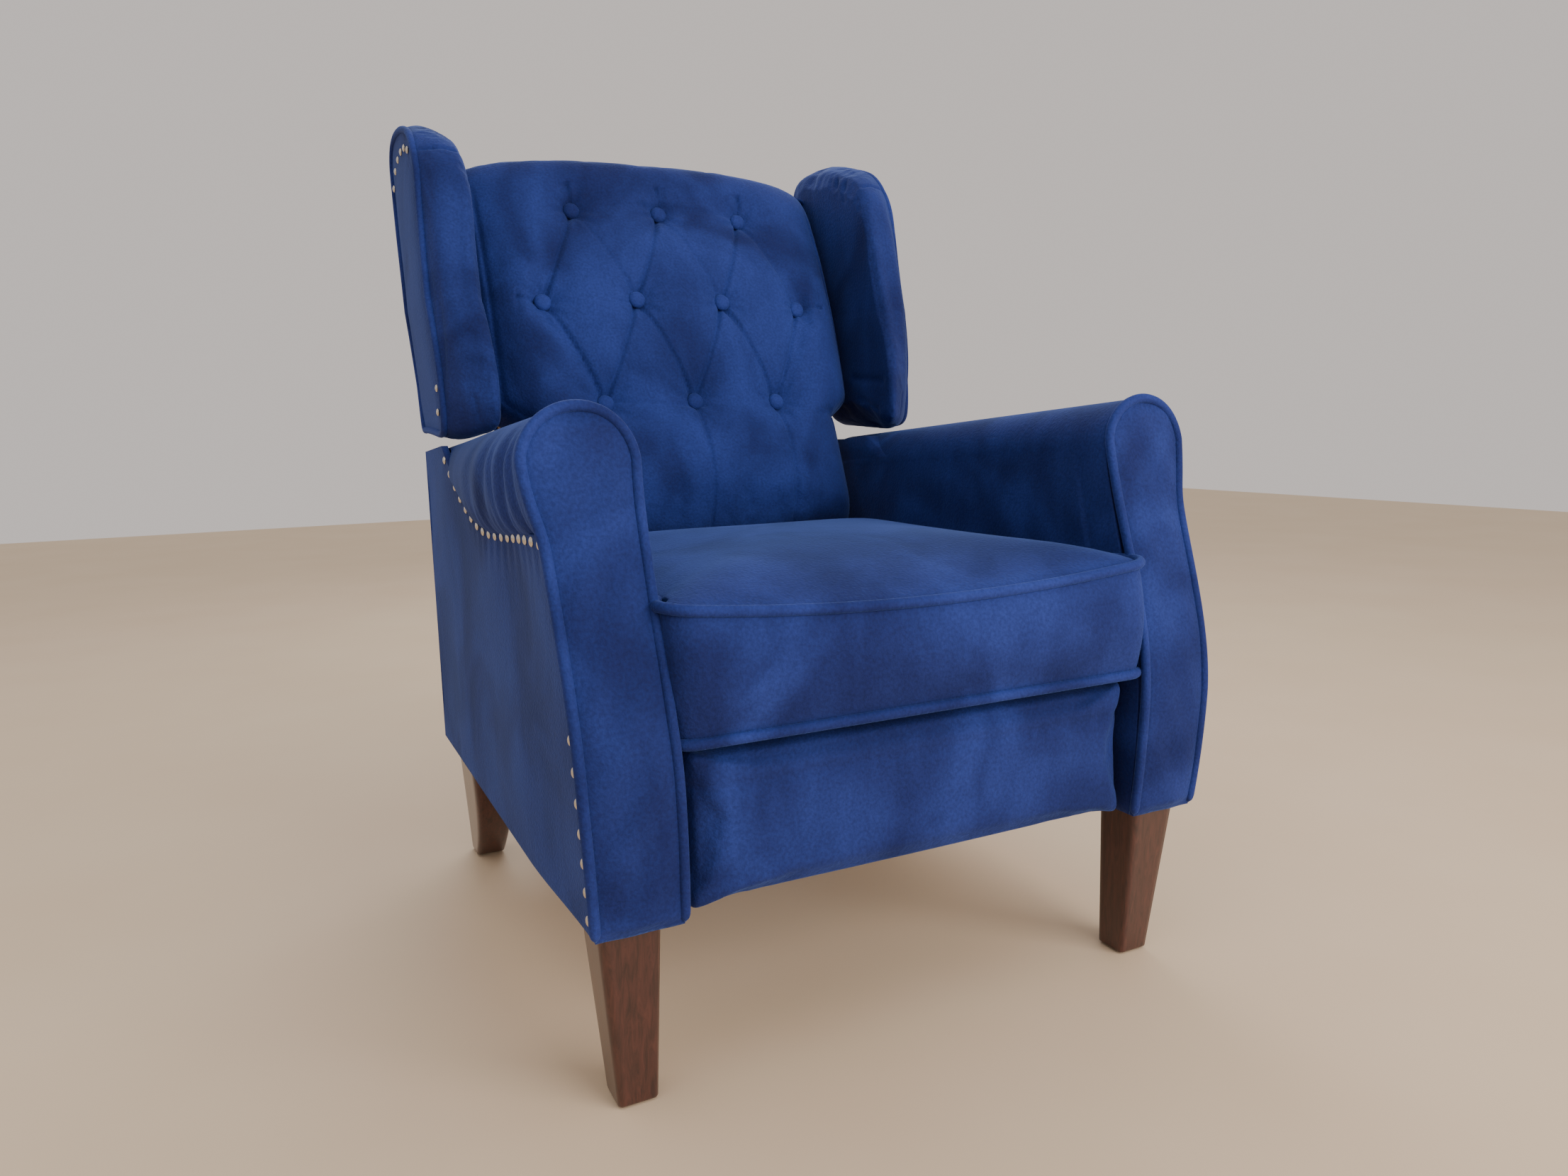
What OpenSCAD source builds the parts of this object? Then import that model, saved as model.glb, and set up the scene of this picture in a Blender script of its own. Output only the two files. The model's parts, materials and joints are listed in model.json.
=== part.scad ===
// Push-back wing recliner: padded arms on tapered legs, a seat that glides forward
// on swinging links, a reclining winged back and a fold-out footrest.
// The sitter faces -Y, +Z is up, and left and right are the sitter's (left is +X).

/* [Base and arms] */
// From the origin forward to the lower arm fronts
front_reach = 410; // [390:1:430]
// From the origin back to the rear of the arms
rear_reach = 290; // [280:1:310]
// Clear width between the arm linings
seat_gap_w = 500; // [460:1:600]
// Arm width from lining to outer side
arm_w = 88; // [80:1:110]
// Height of the upholstered underside above the floor
skirt_z = 176; // [150:1:200]
// Height of the arm roll's top at the front
arm_h = 612; // [600:1:640]
// How far the arm top falls towards the rear
arm_fall = 46; // [30:1:50]
// Radius of the arm roll
roll_r = 48.5; // [44:0.5:52]
// How far the lower arm front bulges forward
belly = 8; // [0:1:14]
// Height of the fullest point of the arm front
belly_z = 300; // [280:1:340]
// How far the arm front leans back at its top
rake = 62; // [40:1:80]
// Height of the nail line under the roll
nail_z = 494; // [480:1:505]
// Thickness of the plywood side boards
board_t = 15; // [12:1:18]
// Thickness of the padded arm facings
facing_t = 8; // [6:1:14]
// Thickness of the boards behind the facings
front_board_t = 12; // [9:1:18]
// Thickness of the outer covers with their wadding
cover_t = 8; // [4:1:10]

/* [Legs] */
// Width of a leg at its top
leg_top = 56; // [46:1:60]
// Width of a leg at its foot
leg_foot = 37; // [28:1:42]
// Depth of a rear leg at its top
rear_leg_top = 96; // [70:1:110]
// Thickness of the nylon glides
glide_t = 2; // [1:0.5:4]

/* [Seat] */
// Gap between the seat cushion and an arm lining
seat_side_gap = 4; // [2:0.5:8]
// Height of the seat cushion's underside
seat_z = 331; // [328:1:340]
// Height of the seat cushion's side edge
seat_edge_z = 440; // [425:1:450]
// Height of the seat cushion's crown
seat_crown_z = 468; // [450:1:480]
// From the origin forward to the seat cushion's front
seat_front = 420; // [405:1:430]
// From the origin back to the seat cushion's rear
seat_back = 56; // [40:1:58]

/* [Back and wings] */
// Lean of the back from upright, in degrees
back_tilt = 19.6; // [16:0.1:22]
// Length of the back along its lean
back_len = 612; // [595:1:640]
// How far each wing stands outside the seat opening's side
wing_set = 30; // [25:1:40]
// Thickness of a wing
wing_t = 58; // [50:1:60]
// Height of the wing's lowest front corner
wing_foot_z = 600; // [598:1:612]
// Height of the wing's top
wing_top_z = 982; // [960:1:1000]
// Distance between button columns
button_pitch = 124; // [100:1:128]
// Distance between button rows
button_rise = 143; // [130:1:150]
// From the top of the back down to the first row of buttons
button_drop = 95; // [80:1:100]
// Radius of a covered button
button_r = 11.5; // [9:0.5:13]

/* [Glide linkage] */
// Length of the swinging links
link_len = 90; // [84:1:92]
// Lean of the links behind upright when the chair is closed, in degrees
link_lean = 60; // [55:1:64]
// Distance between the front and rear link pivots
link_base = 206; // [190:1:215]
// Radius of the cross shafts
shaft_r = 7; // [6:0.5:8]
// Radius of the pivot studs
stud_r = 5; // [4:0.5:6]
// Radial running clearance at every pivot
run_fit = 0.05; // [0.02:0.01:0.1]
// Thickness of the steel plates and links
steel_t = 3; // [2.5:0.5:3]

/* [Footrest] */
// Height of the footrest panel
foot_h = 138; // [120:1:138]
// Thickness of the footrest board
foot_board_t = 15; // [12:1:18]
// Thickness of the footrest pad
foot_pad_t = 32; // [20:1:34]
// Turn of the driving links from folded to open, in degrees
foot_sweep = 155; // [150:1:160]
// Length of the footrest's driving links
foot_link = 156; // [150:1:158]
// Distance between the two pivots of each parallel pair
foot_pair = 60; // [54:1:64]

/* [Hidden] */
$fn = 48;

blue = "royalblue";
foam = "mediumblue";
wood = "burlywood";
mahogany = "maroon";
steel = "dimgray";
gap = 0.3;

// Arm layers, outwards from the middle of the chair
in_x = seat_gap_w / 2;
lining_t = 11.7;
board_x = in_x + lining_t + gap;
out_x = in_x + arm_w;
frame_out_x = out_x - cover_t - gap;
roll_x = in_x + 10.5 + roll_r;
roll_z = arm_h - roll_r;
roll_front = rake - front_reach;
fall_angle = atan(arm_fall / (rear_reach - roll_front));
lining_z = 334;
// The lining reaches down to the skirt only in front of this line
lining_drop_y = -300;
arm_bed_z = arm_h - 69;
arm_bed_w = 53;

// The arm's front face seen from the side: a full lower belly under a raked scroll
function smooth(t) = t * t * (3 - 2 * t);
function face_low(t) = -belly * (1 - pow(1 - t, 2));
function face_high(t) = -belly + (belly + rake) * smooth(min(t, 1));
function face_y(z) = -front_reach
  + (z < belly_z ? face_low((z - skirt_z) / (belly_z - skirt_z))
  : face_high((z - belly_z) / (arm_h - belly_z)));
face_steps = 18;
function face_z(i) = skirt_z + (arm_h + 4 - skirt_z) * i / face_steps;

// The nail line under the roll rises to the arm's top towards the rear
rise_from = -100;
rise_to = 150;
function arm_top(y) = arm_h - arm_fall * (y - roll_front) / (rear_reach - roll_front);
function nail_line(y) = nail_z + (arm_top(rise_to) - nail_z)
  * pow(max(0, min(1, (y - rise_from) / (rise_to - rise_from))), 1.8);

// Planes of the mechanism, outwards from the middle of the chair
plate_x = in_x - 4;
foot_a_x = plate_x - 5;
foot_b_x = foot_a_x - 5;
foot_c_x = foot_b_x - 5;
foot_d_x = foot_c_x - 5;
glide_x = plate_x + 7.7;
base_x = board_x - gap - steel_t;
seat_rail_x = plate_x - 6;
seat_rail_w = 35;
seat_rail_h = 38;
flange_z = 286;
seat_rail_front = -338;
seat_rail_rear = 140;
seat_cross_t = 26;

// Glide pivots: top pivots on the seat plates, foot pivots on the base plates
link_top_z = 269;
front_top_y = -26;
rear_top_y = front_top_y + link_base;
front_foot_y = front_top_y - link_len * sin(link_lean);
rear_foot_y = front_foot_y + link_base;
link_foot_z = link_top_z - link_len * cos(link_lean);
link_w = 24;

// Back frame: a leaning frame whose own Y is its thickness and Z its length
back_y = 211;
back_z = 360;
hinge_y = 210;
hinge_z = 400;
hinge_r = 5;
hinge_eye_r = 8;
stile_t = 26;
stile_w = 35;
back_skin_t = 6;
back_bed = back_skin_t + gap + stile_t + 2.5;
low_x = in_x - 8;
wing_x = in_x + wing_set;
wing_out = wing_x + wing_t;
wing_board_x = wing_x + 38;
wing_board_t = 12;
cushion_x = wing_x - 8;

// Footrest pivots, folded: the crank hangs back under the seat
crank_y = -262;
crank_z = 262;
fold_dir = 180 - foot_sweep;
function spoke(y, z, r, a) = [y + r * cos(a), z - r * sin(a)];
knee = spoke(crank_y, crank_z, foot_link, fold_dir);
pair_knee = [knee[0] + foot_pair, knee[1]];
foot_pivot = [-328, 258];
foot_rear = -345;
foot_w = 20;
// How far a riveted stud stands proud of its link
rivet = 0.6;
foot_x = in_x - 5;
foot_low = skirt_z + 1;
stay_crank = 16;
stay_crank_dir = 295.5;
stay_arm = 40.7;
stay_arm_dir = 328;
stay_start = spoke(pair_knee[0], pair_knee[1], stay_crank, stay_crank_dir);
stay_end = spoke(foot_pivot[0], foot_pivot[1], stay_arm, stay_arm_dir);

module both() {
  children();
  mirror([1, 0, 0]) children();
}

// An outline drawn in Y and Z, thick from x0 to x1
module side_slab(x0, x1) {
  translate([x0, 0, 0]) rotate([90, 0, 90]) linear_extrude(x1 - x0) children();
}

// An outline drawn in X and Z, thick from y0 to y1
module front_slab(y0, y1) {
  translate([0, y1, 0]) rotate([90, 0, 0]) linear_extrude(y1 - y0) children();
}

module block(low, high) {
  translate(low) cube(high - low);
}

// A round bar along X
module bar(x0, x1, y, z, r) {
  translate([x0, y, z]) rotate([0, 90, 0]) cylinder(h = x1 - x0, r = r);
}

// A flat steel link in the Y Z plane: a strap between two wider eyes
module link(x0, p, q, w) {
  reach = norm(q - p);
  strap = 0.84 * w;
  lean = atan2(q[1] - p[1], q[0] - p[0]);
  side_slab(x0, x0 + steel_t) {
    translate(p) circle(d = w);
    translate(q) circle(d = w);
    translate(p) rotate(lean) translate([0, -strap / 2]) square([reach, strap]);
  }
}

// Between two offsets behind the arm's front face
module face_band(t0, t1) {
  polygon(concat(
    [for (i = [0 : face_steps]) [face_y(face_z(i)) + t0, face_z(i)]],
    [for (i = [face_steps : -1 : 0]) [face_y(face_z(i)) + t1, face_z(i)]]));
}

// Everything behind an offset of the arm's front face, back to y1
module behind_face(t0, y1, top = arm_h + 4) {
  intersection() {
    polygon(concat(
      [for (i = [0 : face_steps]) [face_y(face_z(i)) + t0, face_z(i)]],
      [[y1, arm_h + 4], [y1, skirt_z]]));
    translate([-front_reach - 50, skirt_z]) square([1000, top - skirt_z]);
  }
}

// The arm front seen from the front: a scroll over a slightly waisted panel
module scroll_outline() {
  translate([roll_x, roll_z]) circle(r = roll_r, $fn = 72);
  polygon([
    [in_x - 2, skirt_z], [in_x + 2, skirt_z + 60], [in_x + 3, belly_z],
    [in_x + 7, 415], [in_x + 10, 500], [in_x + 10.5, roll_z],
    [roll_x, roll_z], [out_x + 6.5, 507], [out_x + 5, 470],
    [out_x + 2, 400], [out_x - 1, belly_z], [out_x - 10, skirt_z]]);
}

module front_facing() {
  color(foam) intersection() {
    front_slab(-front_reach - belly - 5, -front_reach + rake + facing_t + 5) scroll_outline();
    side_slab(in_x - 20, roll_x + roll_r + 5) face_band(0, facing_t);
  }
}

module front_board() {
  color(wood) intersection() {
    falling() block([board_x, -500, 100], [out_x, 0, arm_bed_z]);
    side_slab(board_x, frame_out_x)
      face_band(facing_t + gap, facing_t + gap + front_board_t);
    front_slab(-front_reach - belly, -front_reach + rake + facing_t + front_board_t + 5) {
      translate([board_x, skirt_z]) square([frame_out_x - board_x, nail_z - 4 - skirt_z]);
      translate([board_x, skirt_z]) square([arm_bed_w, arm_bed_z - skirt_z]);
    }
  }
}

// Tilts its children about the front of the roll so that they fall towards the rear
module falling() {
  translate([0, roll_front, roll_z]) rotate([-fall_angle, 0, 0])
    translate([0, -roll_front, -roll_z]) children();
}

module side_board() {
  color(wood) difference() {
    intersection() {
      side_slab(board_x, board_x + board_t)
        behind_face(facing_t + front_board_t + 2 * gap, rear_reach - cover_t - gap);
      falling() block([board_x - 1, -500, 100], [out_x, 400, arm_bed_z]);
    }
    plate_holes();
  }
}

module arm_rail() {
  color(wood) intersection() {
    falling() block([board_x + board_t + gap, -500, arm_bed_z - 32], [board_x + arm_bed_w, 400, arm_bed_z]);
    side_slab(board_x, out_x)
      behind_face(facing_t + front_board_t + 2 * gap, rear_reach - cover_t - gap);
  }
}

bottom_rail_h = 38;
bottom_rail_y = [-front_reach + facing_t + front_board_t + 2 * gap, rear_reach - cover_t - gap];

module bottom_rail() {
  color(wood) difference() {
    block([board_x + board_t + gap, bottom_rail_y[0], skirt_z],
      [frame_out_x, bottom_rail_y[1], skirt_z + bottom_rail_h]);
    for (y = [front_leg_y, rear_leg_y])
      translate([leg_x, y, skirt_z - 1]) cylinder(h = bottom_rail_h + 2, r = bolt_r + run_fit);
  }
}

// Foam and cover of the arm: lining, roll and the neck pulled in under it
module arm_pad() {
  color(blue) difference() {
    intersection() {
      falling() front_slab(-520, 420) {
        translate([roll_x, roll_z]) circle(r = roll_r, $fn = 72);
        translate([in_x, skirt_z - 40]) square([lining_t, roll_z - skirt_z + 40]);
        polygon([[in_x, 480], [in_x + 10.5, roll_z], [in_x + lining_t, roll_z],
          [in_x + lining_t, 480]]);
        polygon([[frame_out_x + gap, nail_z - 60], [out_x + 3, nail_z - 60],
          [out_x + 5, nail_z + 8], [roll_x + roll_r - 2, roll_z - 10],
          [frame_out_x + gap, roll_z - 10]]);
      }
      side_slab(in_x - 5, roll_x + roll_r + 5)
        behind_face(facing_t + gap, rear_reach - cover_t - gap);
      union() {
        block([in_x - 5, -500, lining_z], [roll_x + roll_r + 5, 400, arm_h + 10]);
        block([in_x - 5, -500, skirt_z], [board_x, lining_drop_y, lining_z + 1]);
      }
    }
    falling() block([board_x - gap, -520, 100], [board_x + arm_bed_w + gap, 420, arm_bed_z + gap]);
    side_slab(frame_out_x - 20, roll_x + roll_r + 5) below_nails(gap);
  }
}

nail_steps = 16;

// Below the nail line, seen from the side
module below_nails(lift) {
  polygon(concat(
    [[-520, 100], [-520, nail_z + lift]],
    [for (i = [0 : nail_steps]) let (y = rise_from + (rise_to - rise_from) * i / nail_steps)
      [y, nail_line(y) + lift]],
    [[420, arm_top(420) + lift], [420, 100]]));
}

// Outer side cover, turned round the rear corner onto the back of the arm
module side_cover() {
  color(blue) {
    intersection() {
      side_slab(out_x - cover_t, out_x) behind_face(facing_t + gap, rear_reach);
      side_slab(0, out_x) below_nails(0);
      falling() block([0, -500, 0], [out_x, 400, arm_h - 6]);
    }
    intersection() {
      block([board_x, rear_reach - cover_t, skirt_z], [out_x, rear_reach, arm_h]);
      falling() block([0, -500, 0], [out_x, 400, arm_h - 6]);
    }
  }
}

// A shallow dome standing on its own XY plane
nail_r = 5;
nail_h = 2.4;
module nailhead() {
  dome = (nail_r * nail_r + nail_h * nail_h) / (2 * nail_h);
  intersection() {
    translate([0, 0, nail_h - dome]) sphere(r = dome, $fn = 24);
    translate([0, 0, nail_h / 2]) cube([3 * nail_r, 3 * nail_r, nail_h], center = true);
  }
}

arm_nails = 17;
arm_nail_from = 126;
arm_nail_pitch = 30;
post_nails = 7;
post_nail_z = 199;
post_nail_pitch = 24.5;
module arm_nails_one_side() {
  color("silver") {
    for (i = [0 : arm_nails - 1]) {
      y = arm_nail_from - i * arm_nail_pitch;
      translate([out_x, y, nail_line(y) - nail_r - 1]) rotate([0, 90, 0]) nailhead();
    }
    for (i = [0 : post_nails - 1]) {
      z = post_nail_z + i * post_nail_pitch;
      translate([out_x, face_y(z) + facing_t + nail_r + 1.5, z]) rotate([0, 90, 0]) nailhead();
    }
  }
}

// Legs: square tapers in front, swept-back tapers at the rear
leg_x = out_x - 13 - leg_top / 2;
leg_foot_x = leg_x - 6.5;
front_leg_y = -front_reach + 14 + leg_top / 2;
front_foot_y2 = front_leg_y + 8.5;
rear_leg_y = rear_reach - 26 - rear_leg_top / 2;
rear_foot_y2 = rear_reach + 6 - leg_foot / 2;
sweep_steps = 8;

module leg_front_view() {
  polygon([[leg_x - leg_top / 2, skirt_z], [leg_x + leg_top / 2, skirt_z],
    [leg_foot_x + leg_foot / 2, glide_t], [leg_foot_x - leg_foot / 2, glide_t]]);
}

bolt_r = 4;
bolt_down = 40;
bolt_up = 30;

module front_leg() {
  color(mahogany) difference() {
    intersection() {
      front_slab(-front_reach, 0) leg_front_view();
      side_slab(in_x, out_x)
        polygon([[front_leg_y - leg_top / 2, skirt_z], [front_leg_y + leg_top / 2, skirt_z],
          [front_foot_y2 + leg_foot / 2, glide_t], [front_foot_y2 - leg_foot / 2, glide_t]]);
    }
    translate([leg_x, front_leg_y, skirt_z - bolt_down - 1]) cylinder(h = 100, r = bolt_r + run_fit);
  }
}

module rear_leg() {
  top_front = rear_leg_y - rear_leg_top / 2;
  foot_front = rear_foot_y2 - leg_foot / 2;
  color(mahogany) difference() {
    intersection() {
      front_slab(0, rear_reach + 20) leg_front_view();
      side_slab(in_x, out_x) polygon(concat(
        [for (i = [0 : sweep_steps]) let (t = i / sweep_steps)
          [top_front + (foot_front - top_front) * pow(t, 2.2), skirt_z + (glide_t - skirt_z) * t]],
        [[rear_foot_y2 + leg_foot / 2, glide_t], [rear_leg_y + rear_leg_top / 2, skirt_z]]));
    }
    translate([leg_x, rear_leg_y, skirt_z - bolt_down - 1]) cylinder(h = 100, r = bolt_r + run_fit);
  }
}

module leg_bolt(y) {
  color(steel) translate([leg_x, y, skirt_z - bolt_down]) cylinder(h = bolt_down + bolt_up, r = bolt_r);
}

module leg_glide(y) {
  color("white") translate([leg_foot_x, y, 0]) cylinder(h = glide_t, r = leg_foot / 2 - 6);
}

cross_rail_y = [-35, -10];
cross_rail_h = 30;
rear_rail_h = 150;
rear_rail_t = 26;
rear_rail_y = rear_reach - cover_t - gap - rear_rail_t;

module cross_rail() {
  top = base_plate_z[0] - gap;
  color(wood) block([-board_x, cross_rail_y[0], top - cross_rail_h], [board_x, cross_rail_y[1], top]);
}

module rear_rail() {
  color(wood) block([-board_x, rear_rail_y, skirt_z],
    [board_x, rear_rail_y + rear_rail_t, skirt_z + rear_rail_h]);
}

module base_back_cover() {
  color(blue) block([-board_x + gap, rear_reach - cover_t, skirt_z],
    [board_x - gap, rear_reach, skirt_z + rear_rail_h + 10]);
}

// Base plates with their pivot studs, and the bolts that hold them to the side boards
base_plate_y = [front_foot_y - 30, rear_foot_y + 30];
base_plate_z = [link_foot_z - 14, link_foot_z + 14];
plate_bolt_y = [base_plate_y[0] + 12, (base_plate_y[0] + base_plate_y[1]) / 2, base_plate_y[1] - 12];
plate_bolt_r = 3;

module plate_holes() {
  for (y = plate_bolt_y)
    bar(base_x - 1, board_x + board_t + 1, y, link_foot_z, plate_bolt_r + run_fit);
}

module base_plate() {
  color(steel) {
    difference() {
      block([base_x, base_plate_y[0], base_plate_z[0]],
        [base_x + steel_t, base_plate_y[1], base_plate_z[1]]);
      plate_holes();
    }
    for (y = [front_foot_y, rear_foot_y])
      bar(glide_x - 1, base_x + 1, y, link_foot_z, stud_r);
  }
}

module plate_bolt(y) {
  color("gray") {
    bar(base_x, board_x + board_t, y, link_foot_z, plate_bolt_r);
    bar(base_x - 1.5, base_x, y, link_foot_z, 2 * plate_bolt_r);
  }
}

module glide_link(foot_y, top_y) {
  color(steel) difference() {
    link(glide_x, [foot_y, link_foot_z], [top_y, link_top_z], link_w);
    bar(glide_x - 1, glide_x + steel_t + 1, foot_y, link_foot_z, stud_r + run_fit);
    bar(glide_x - 1, glide_x + steel_t + 1, top_y, link_top_z, shaft_r + run_fit);
  }
}

module cross_shaft(y) {
  color("gray") bar(-glide_x - steel_t - 1, glide_x + steel_t + 1, y, link_top_z, shaft_r);
}

// Seat plate: a bar with a top flange under the seat rail and an upright to the back hinge
plate_low = crank_z - 14;
upright_w = 34;
module seat_plate() {
  color(steel) {
    difference() {
      union() {
        block([plate_x, crank_y - 22, plate_low], [plate_x + steel_t, rear_top_y + 22, flange_z]);
        link(plate_x, [rear_top_y, link_top_z], [hinge_y, hinge_z], upright_w);
        block([seat_rail_x - seat_rail_w + 2, stay_end[0] + foot_w + 10, flange_z - steel_t],
          [plate_x + 1, seat_rail_rear, flange_z]);
      }
      for (y = [front_top_y, rear_top_y])
        bar(plate_x - 1, plate_x + steel_t + 1, y, link_top_z, shaft_r + run_fit);
    }
    bar(foot_a_x - 1, plate_x + 1, crank_y, crank_z, stud_r);
    bar(foot_c_x - 1, plate_x + 1, crank_y + foot_pair, crank_z, stud_r);
    bar(back_bracket_x - 1, plate_x + 1, hinge_y, hinge_z, hinge_r);
  }
}

// Side rail, relieved underneath at the front over the folded stay's eye
module seat_rail() {
  color(wood) difference() {
    block([seat_rail_x - seat_rail_w, seat_rail_front + seat_cross_t + gap, flange_z],
      [seat_rail_x, seat_rail_rear, flange_z + seat_rail_h]);
    bar(seat_rail_x - seat_rail_w - 1, seat_rail_x + 1, stay_end[0], stay_end[1], foot_w / 2 + 5);
  }
}

module front_seat_rail() {
  color(wood) block([-seat_rail_x, seat_rail_front, flange_z],
    [seat_rail_x, seat_rail_front + seat_cross_t, flange_z + seat_rail_h]);
}

module rear_seat_rail() {
  edge = seat_rail_x - seat_rail_w - gap;
  color(wood) block([-edge, seat_rail_rear - seat_cross_t, flange_z],
    [edge, seat_rail_rear, flange_z + seat_rail_h]);
}

// Sinuous springs: flat waves of wire across the rails from front to rear
spring_count = 5;
spring_pitch = 76;
spring_wave = 20;
spring_wire = 3.6;
spring_turns = 15;
spring_points = 6 * spring_turns;
spring_front = seat_rail_front + 6;
spring_rear = seat_rail_rear - 6;
function spring_y(i) = spring_front + (spring_rear - spring_front) * i / spring_points;
function spring_x(i) = spring_wave * sin(360 * spring_turns * i / spring_points / 2);
module seat_spring() {
  color("gray") translate([0, 0, flange_z + seat_rail_h + gap]) linear_extrude(spring_wire) polygon(concat(
    [for (i = [0 : spring_points]) [spring_x(i) - spring_wire / 2, spring_y(i)]],
    [for (i = [spring_points : -1 : 0]) [spring_x(i) + spring_wire / 2, spring_y(i)]]));
}

// Seat cushion: crowned from side to side and from front to rear
crown_steps = 12;
seat_x = in_x - seat_side_gap;
module seat_cushion() {
  color(blue) intersection() {
    front_slab(-seat_front, seat_back) polygon(concat(
      [[-seat_x, seat_z], [seat_x, seat_z]],
      [for (i = [0 : crown_steps]) let (a = -90 + 180 * i / crown_steps)
        [-seat_x * sin(a), seat_edge_z + (seat_crown_z - seat_edge_z) * cos(a)]]));
    side_slab(-seat_x, seat_x) polygon(concat(
      [[-seat_front + 8, seat_z], [seat_back, seat_z], [seat_back, seat_crown_z - 14]],
      [for (i = [0 : crown_steps]) let (t = i / crown_steps)
        [seat_back + (-seat_front - seat_back) * t,
          seat_crown_z - 14 * pow(1 - t, 2) - (seat_crown_z - seat_edge_z) * pow(t, 6)]],
      [[-seat_front, seat_edge_z - 20]]));
  }
}

// Places children in the leaning frame of the back: Z runs up the back, Y is its thickness
module leaning() {
  translate([0, back_y, back_z]) rotate([-back_tilt, 0, 0]) children();
}

stile_y = [-back_skin_t - gap - stile_t, -back_skin_t - gap];
module stile() {
  color(wood) difference() {
    leaning() block([seat_rail_x - stile_w, stile_y[0], 0], [seat_rail_x, stile_y[1], back_len - 36]);
    bar(seat_rail_x - stile_w - 1, seat_rail_x + 1, hinge_y, hinge_z, hinge_r + 2);
  }
}

wing_rail_x = wing_board_x - gap;
top_rail_x = in_x - 3;
wing_rail_rows = [270, 480];
top_rail_v = back_len - 36 + gap;
back_rail_h = 34;
module back_top_rail() {
  color(wood) leaning() block([-top_rail_x, stile_y[0], top_rail_v],
    [top_rail_x, stile_y[1], top_rail_v + 22]);
}

// Rear wing rails run out beyond the stiles to carry the wing boards
module wing_rail_reach() {
  for (v = wing_rail_rows)
    leaning() block([seat_rail_x + gap, stile_y[0], v],
      [wing_rail_x, stile_y[1], v + back_rail_h]);
}

module back_cross(v) {
  edge = seat_rail_x - stile_w - gap;
  leaning() block([-edge, stile_y[0], v], [edge, stile_y[1], v + back_rail_h]);
}

module back_wing_rail() {
  color(wood) {
    back_cross(wing_rail_rows[0]);
    both() wing_rail_reach();
  }
}

module back_bottom_rail() {
  color(wood) back_cross(8);
}

strap_rows = [90, 170, 250, 330, 410, 490];
module back_strap(v) {
  edge = seat_rail_x - 3;
  color("dimgray") leaning() block([-edge, stile_y[0] - 1.8, v], [edge, stile_y[0] - gap, v + 48]);
}

// Side view of the back cushion in the leaning frame: thicker at its foot, round at its top
cushion_foot = 44;
cushion_low_t = 164;
cushion_high_t = 115;
round_steps = 7;
module cushion_side() {
  foot_v = 92;
  head_v = back_len - 62;
  polygon(concat(
    [[-back_bed, cushion_foot]],
    [for (i = [0 : round_steps]) let (a = 90 * i / round_steps)
      [-back_bed - 40 - (cushion_low_t - back_bed - 40) * sin(a),
        foot_v - (foot_v - cushion_foot) * cos(a)]],
    [for (i = [0 : round_steps]) let (a = 90 * i / round_steps)
      [-back_bed - (cushion_high_t - back_bed) * cos(a), head_v + (back_len - head_v) * sin(a)]]));
}

module button_place(col, row) {
  v = button_v - row * button_rise;
  t = (v - 92) / (back_len - 62 - 92);
  front = cushion_low_t + (cushion_high_t - cushion_low_t) * t;
  leaning() translate([col * button_pitch, -front, v]) rotate([90 - 5, 0, 0]) children();
}

button_v = back_len - button_drop;
button_sink = 12;
button_h = 7;
module button_grid() {
  for (row = [0 : 2]) for (k = [0 : 2 + row % 2]) button_place(k - 1 - (row % 2) / 2, row) children();
}

module back_cushion() {
  color(blue) difference() {
    leaning() {
      side_slab(-low_x, low_x) cushion_side();
      intersection() {
        side_slab(-cushion_x, cushion_x) cushion_side();
        front_slab(-200, 0)
          polygon([[-cushion_x, 252], [cushion_x, 252], [cushion_x, back_len - 40],
            [cushion_x - 30, back_len - 12], [0, back_len + 1], [30 - cushion_x, back_len - 12],
            [-cushion_x, back_len - 40]]);
      }
    }
    button_grid() translate([0, 0, -button_sink]) cylinder(h = 60, r = button_r + 1.5);
  }
}

module back_button() {
  color(foam) translate([0, 0, gap - button_sink]) {
    cylinder(h = button_h / 2, r = button_r);
    translate([0, 0, button_h / 2]) intersection() {
      cylinder(h = button_h, r = button_r);
      translate([0, 0, button_h / 2 - 20]) sphere(r = 20);
    }
  }
}

module back_cover() {
  color(blue) {
    leaning() block([-low_x, -back_skin_t, 0], [low_x, 0, 262]);
    leaning() block([-wing_x + gap, -back_skin_t, 258], [wing_x - gap, 0, back_len - 12]);
  }
}

// Side view of a wing: foot parallel to the arm top, leaning rear edge, rounded head
wing_front_y = 120;
wing_rear_foot = [286, 578];
wing_steps = 10;
function rear_edge_y(z) = back_y + (z - back_z) * tan(back_tilt);
module wing_outline() {
  apex_y = rear_edge_y(wing_top_z) - 100;
  lip_z = 850;
  lip_y = wing_front_y + 32;
  polygon(concat(
    [wing_rear_foot, [rear_edge_y(wing_foot_z) - 1, wing_foot_z]],
    [[rear_edge_y(wing_top_z - 30) - 1, wing_top_z - 30]],
    [[rear_edge_y(wing_top_z) - 20, wing_top_z - 8], [rear_edge_y(wing_top_z) - 45, wing_top_z - 1]],
    [for (i = [0 : wing_steps]) let (a = 90 * i / wing_steps)
      [apex_y - (apex_y - lip_y) * pow(sin(a), 1.3), lip_z + (wing_top_z - lip_z) * cos(a)]],
    [[wing_front_y + 18, 770], [wing_front_y + 3, 700], [wing_front_y, 640],
      [wing_front_y + 4, wing_foot_z + 14], [wing_front_y + 16, wing_foot_z + 2]]));
}

module wing_core_outline() {
  polygon([[150, 628], [296, 602], [rear_edge_y(930) - 12, 930], [rear_edge_y(950) - 45, 958],
    [290, 952], [215, 915], [178, 860], [158, 780], [146, 700]]);
}

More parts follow.
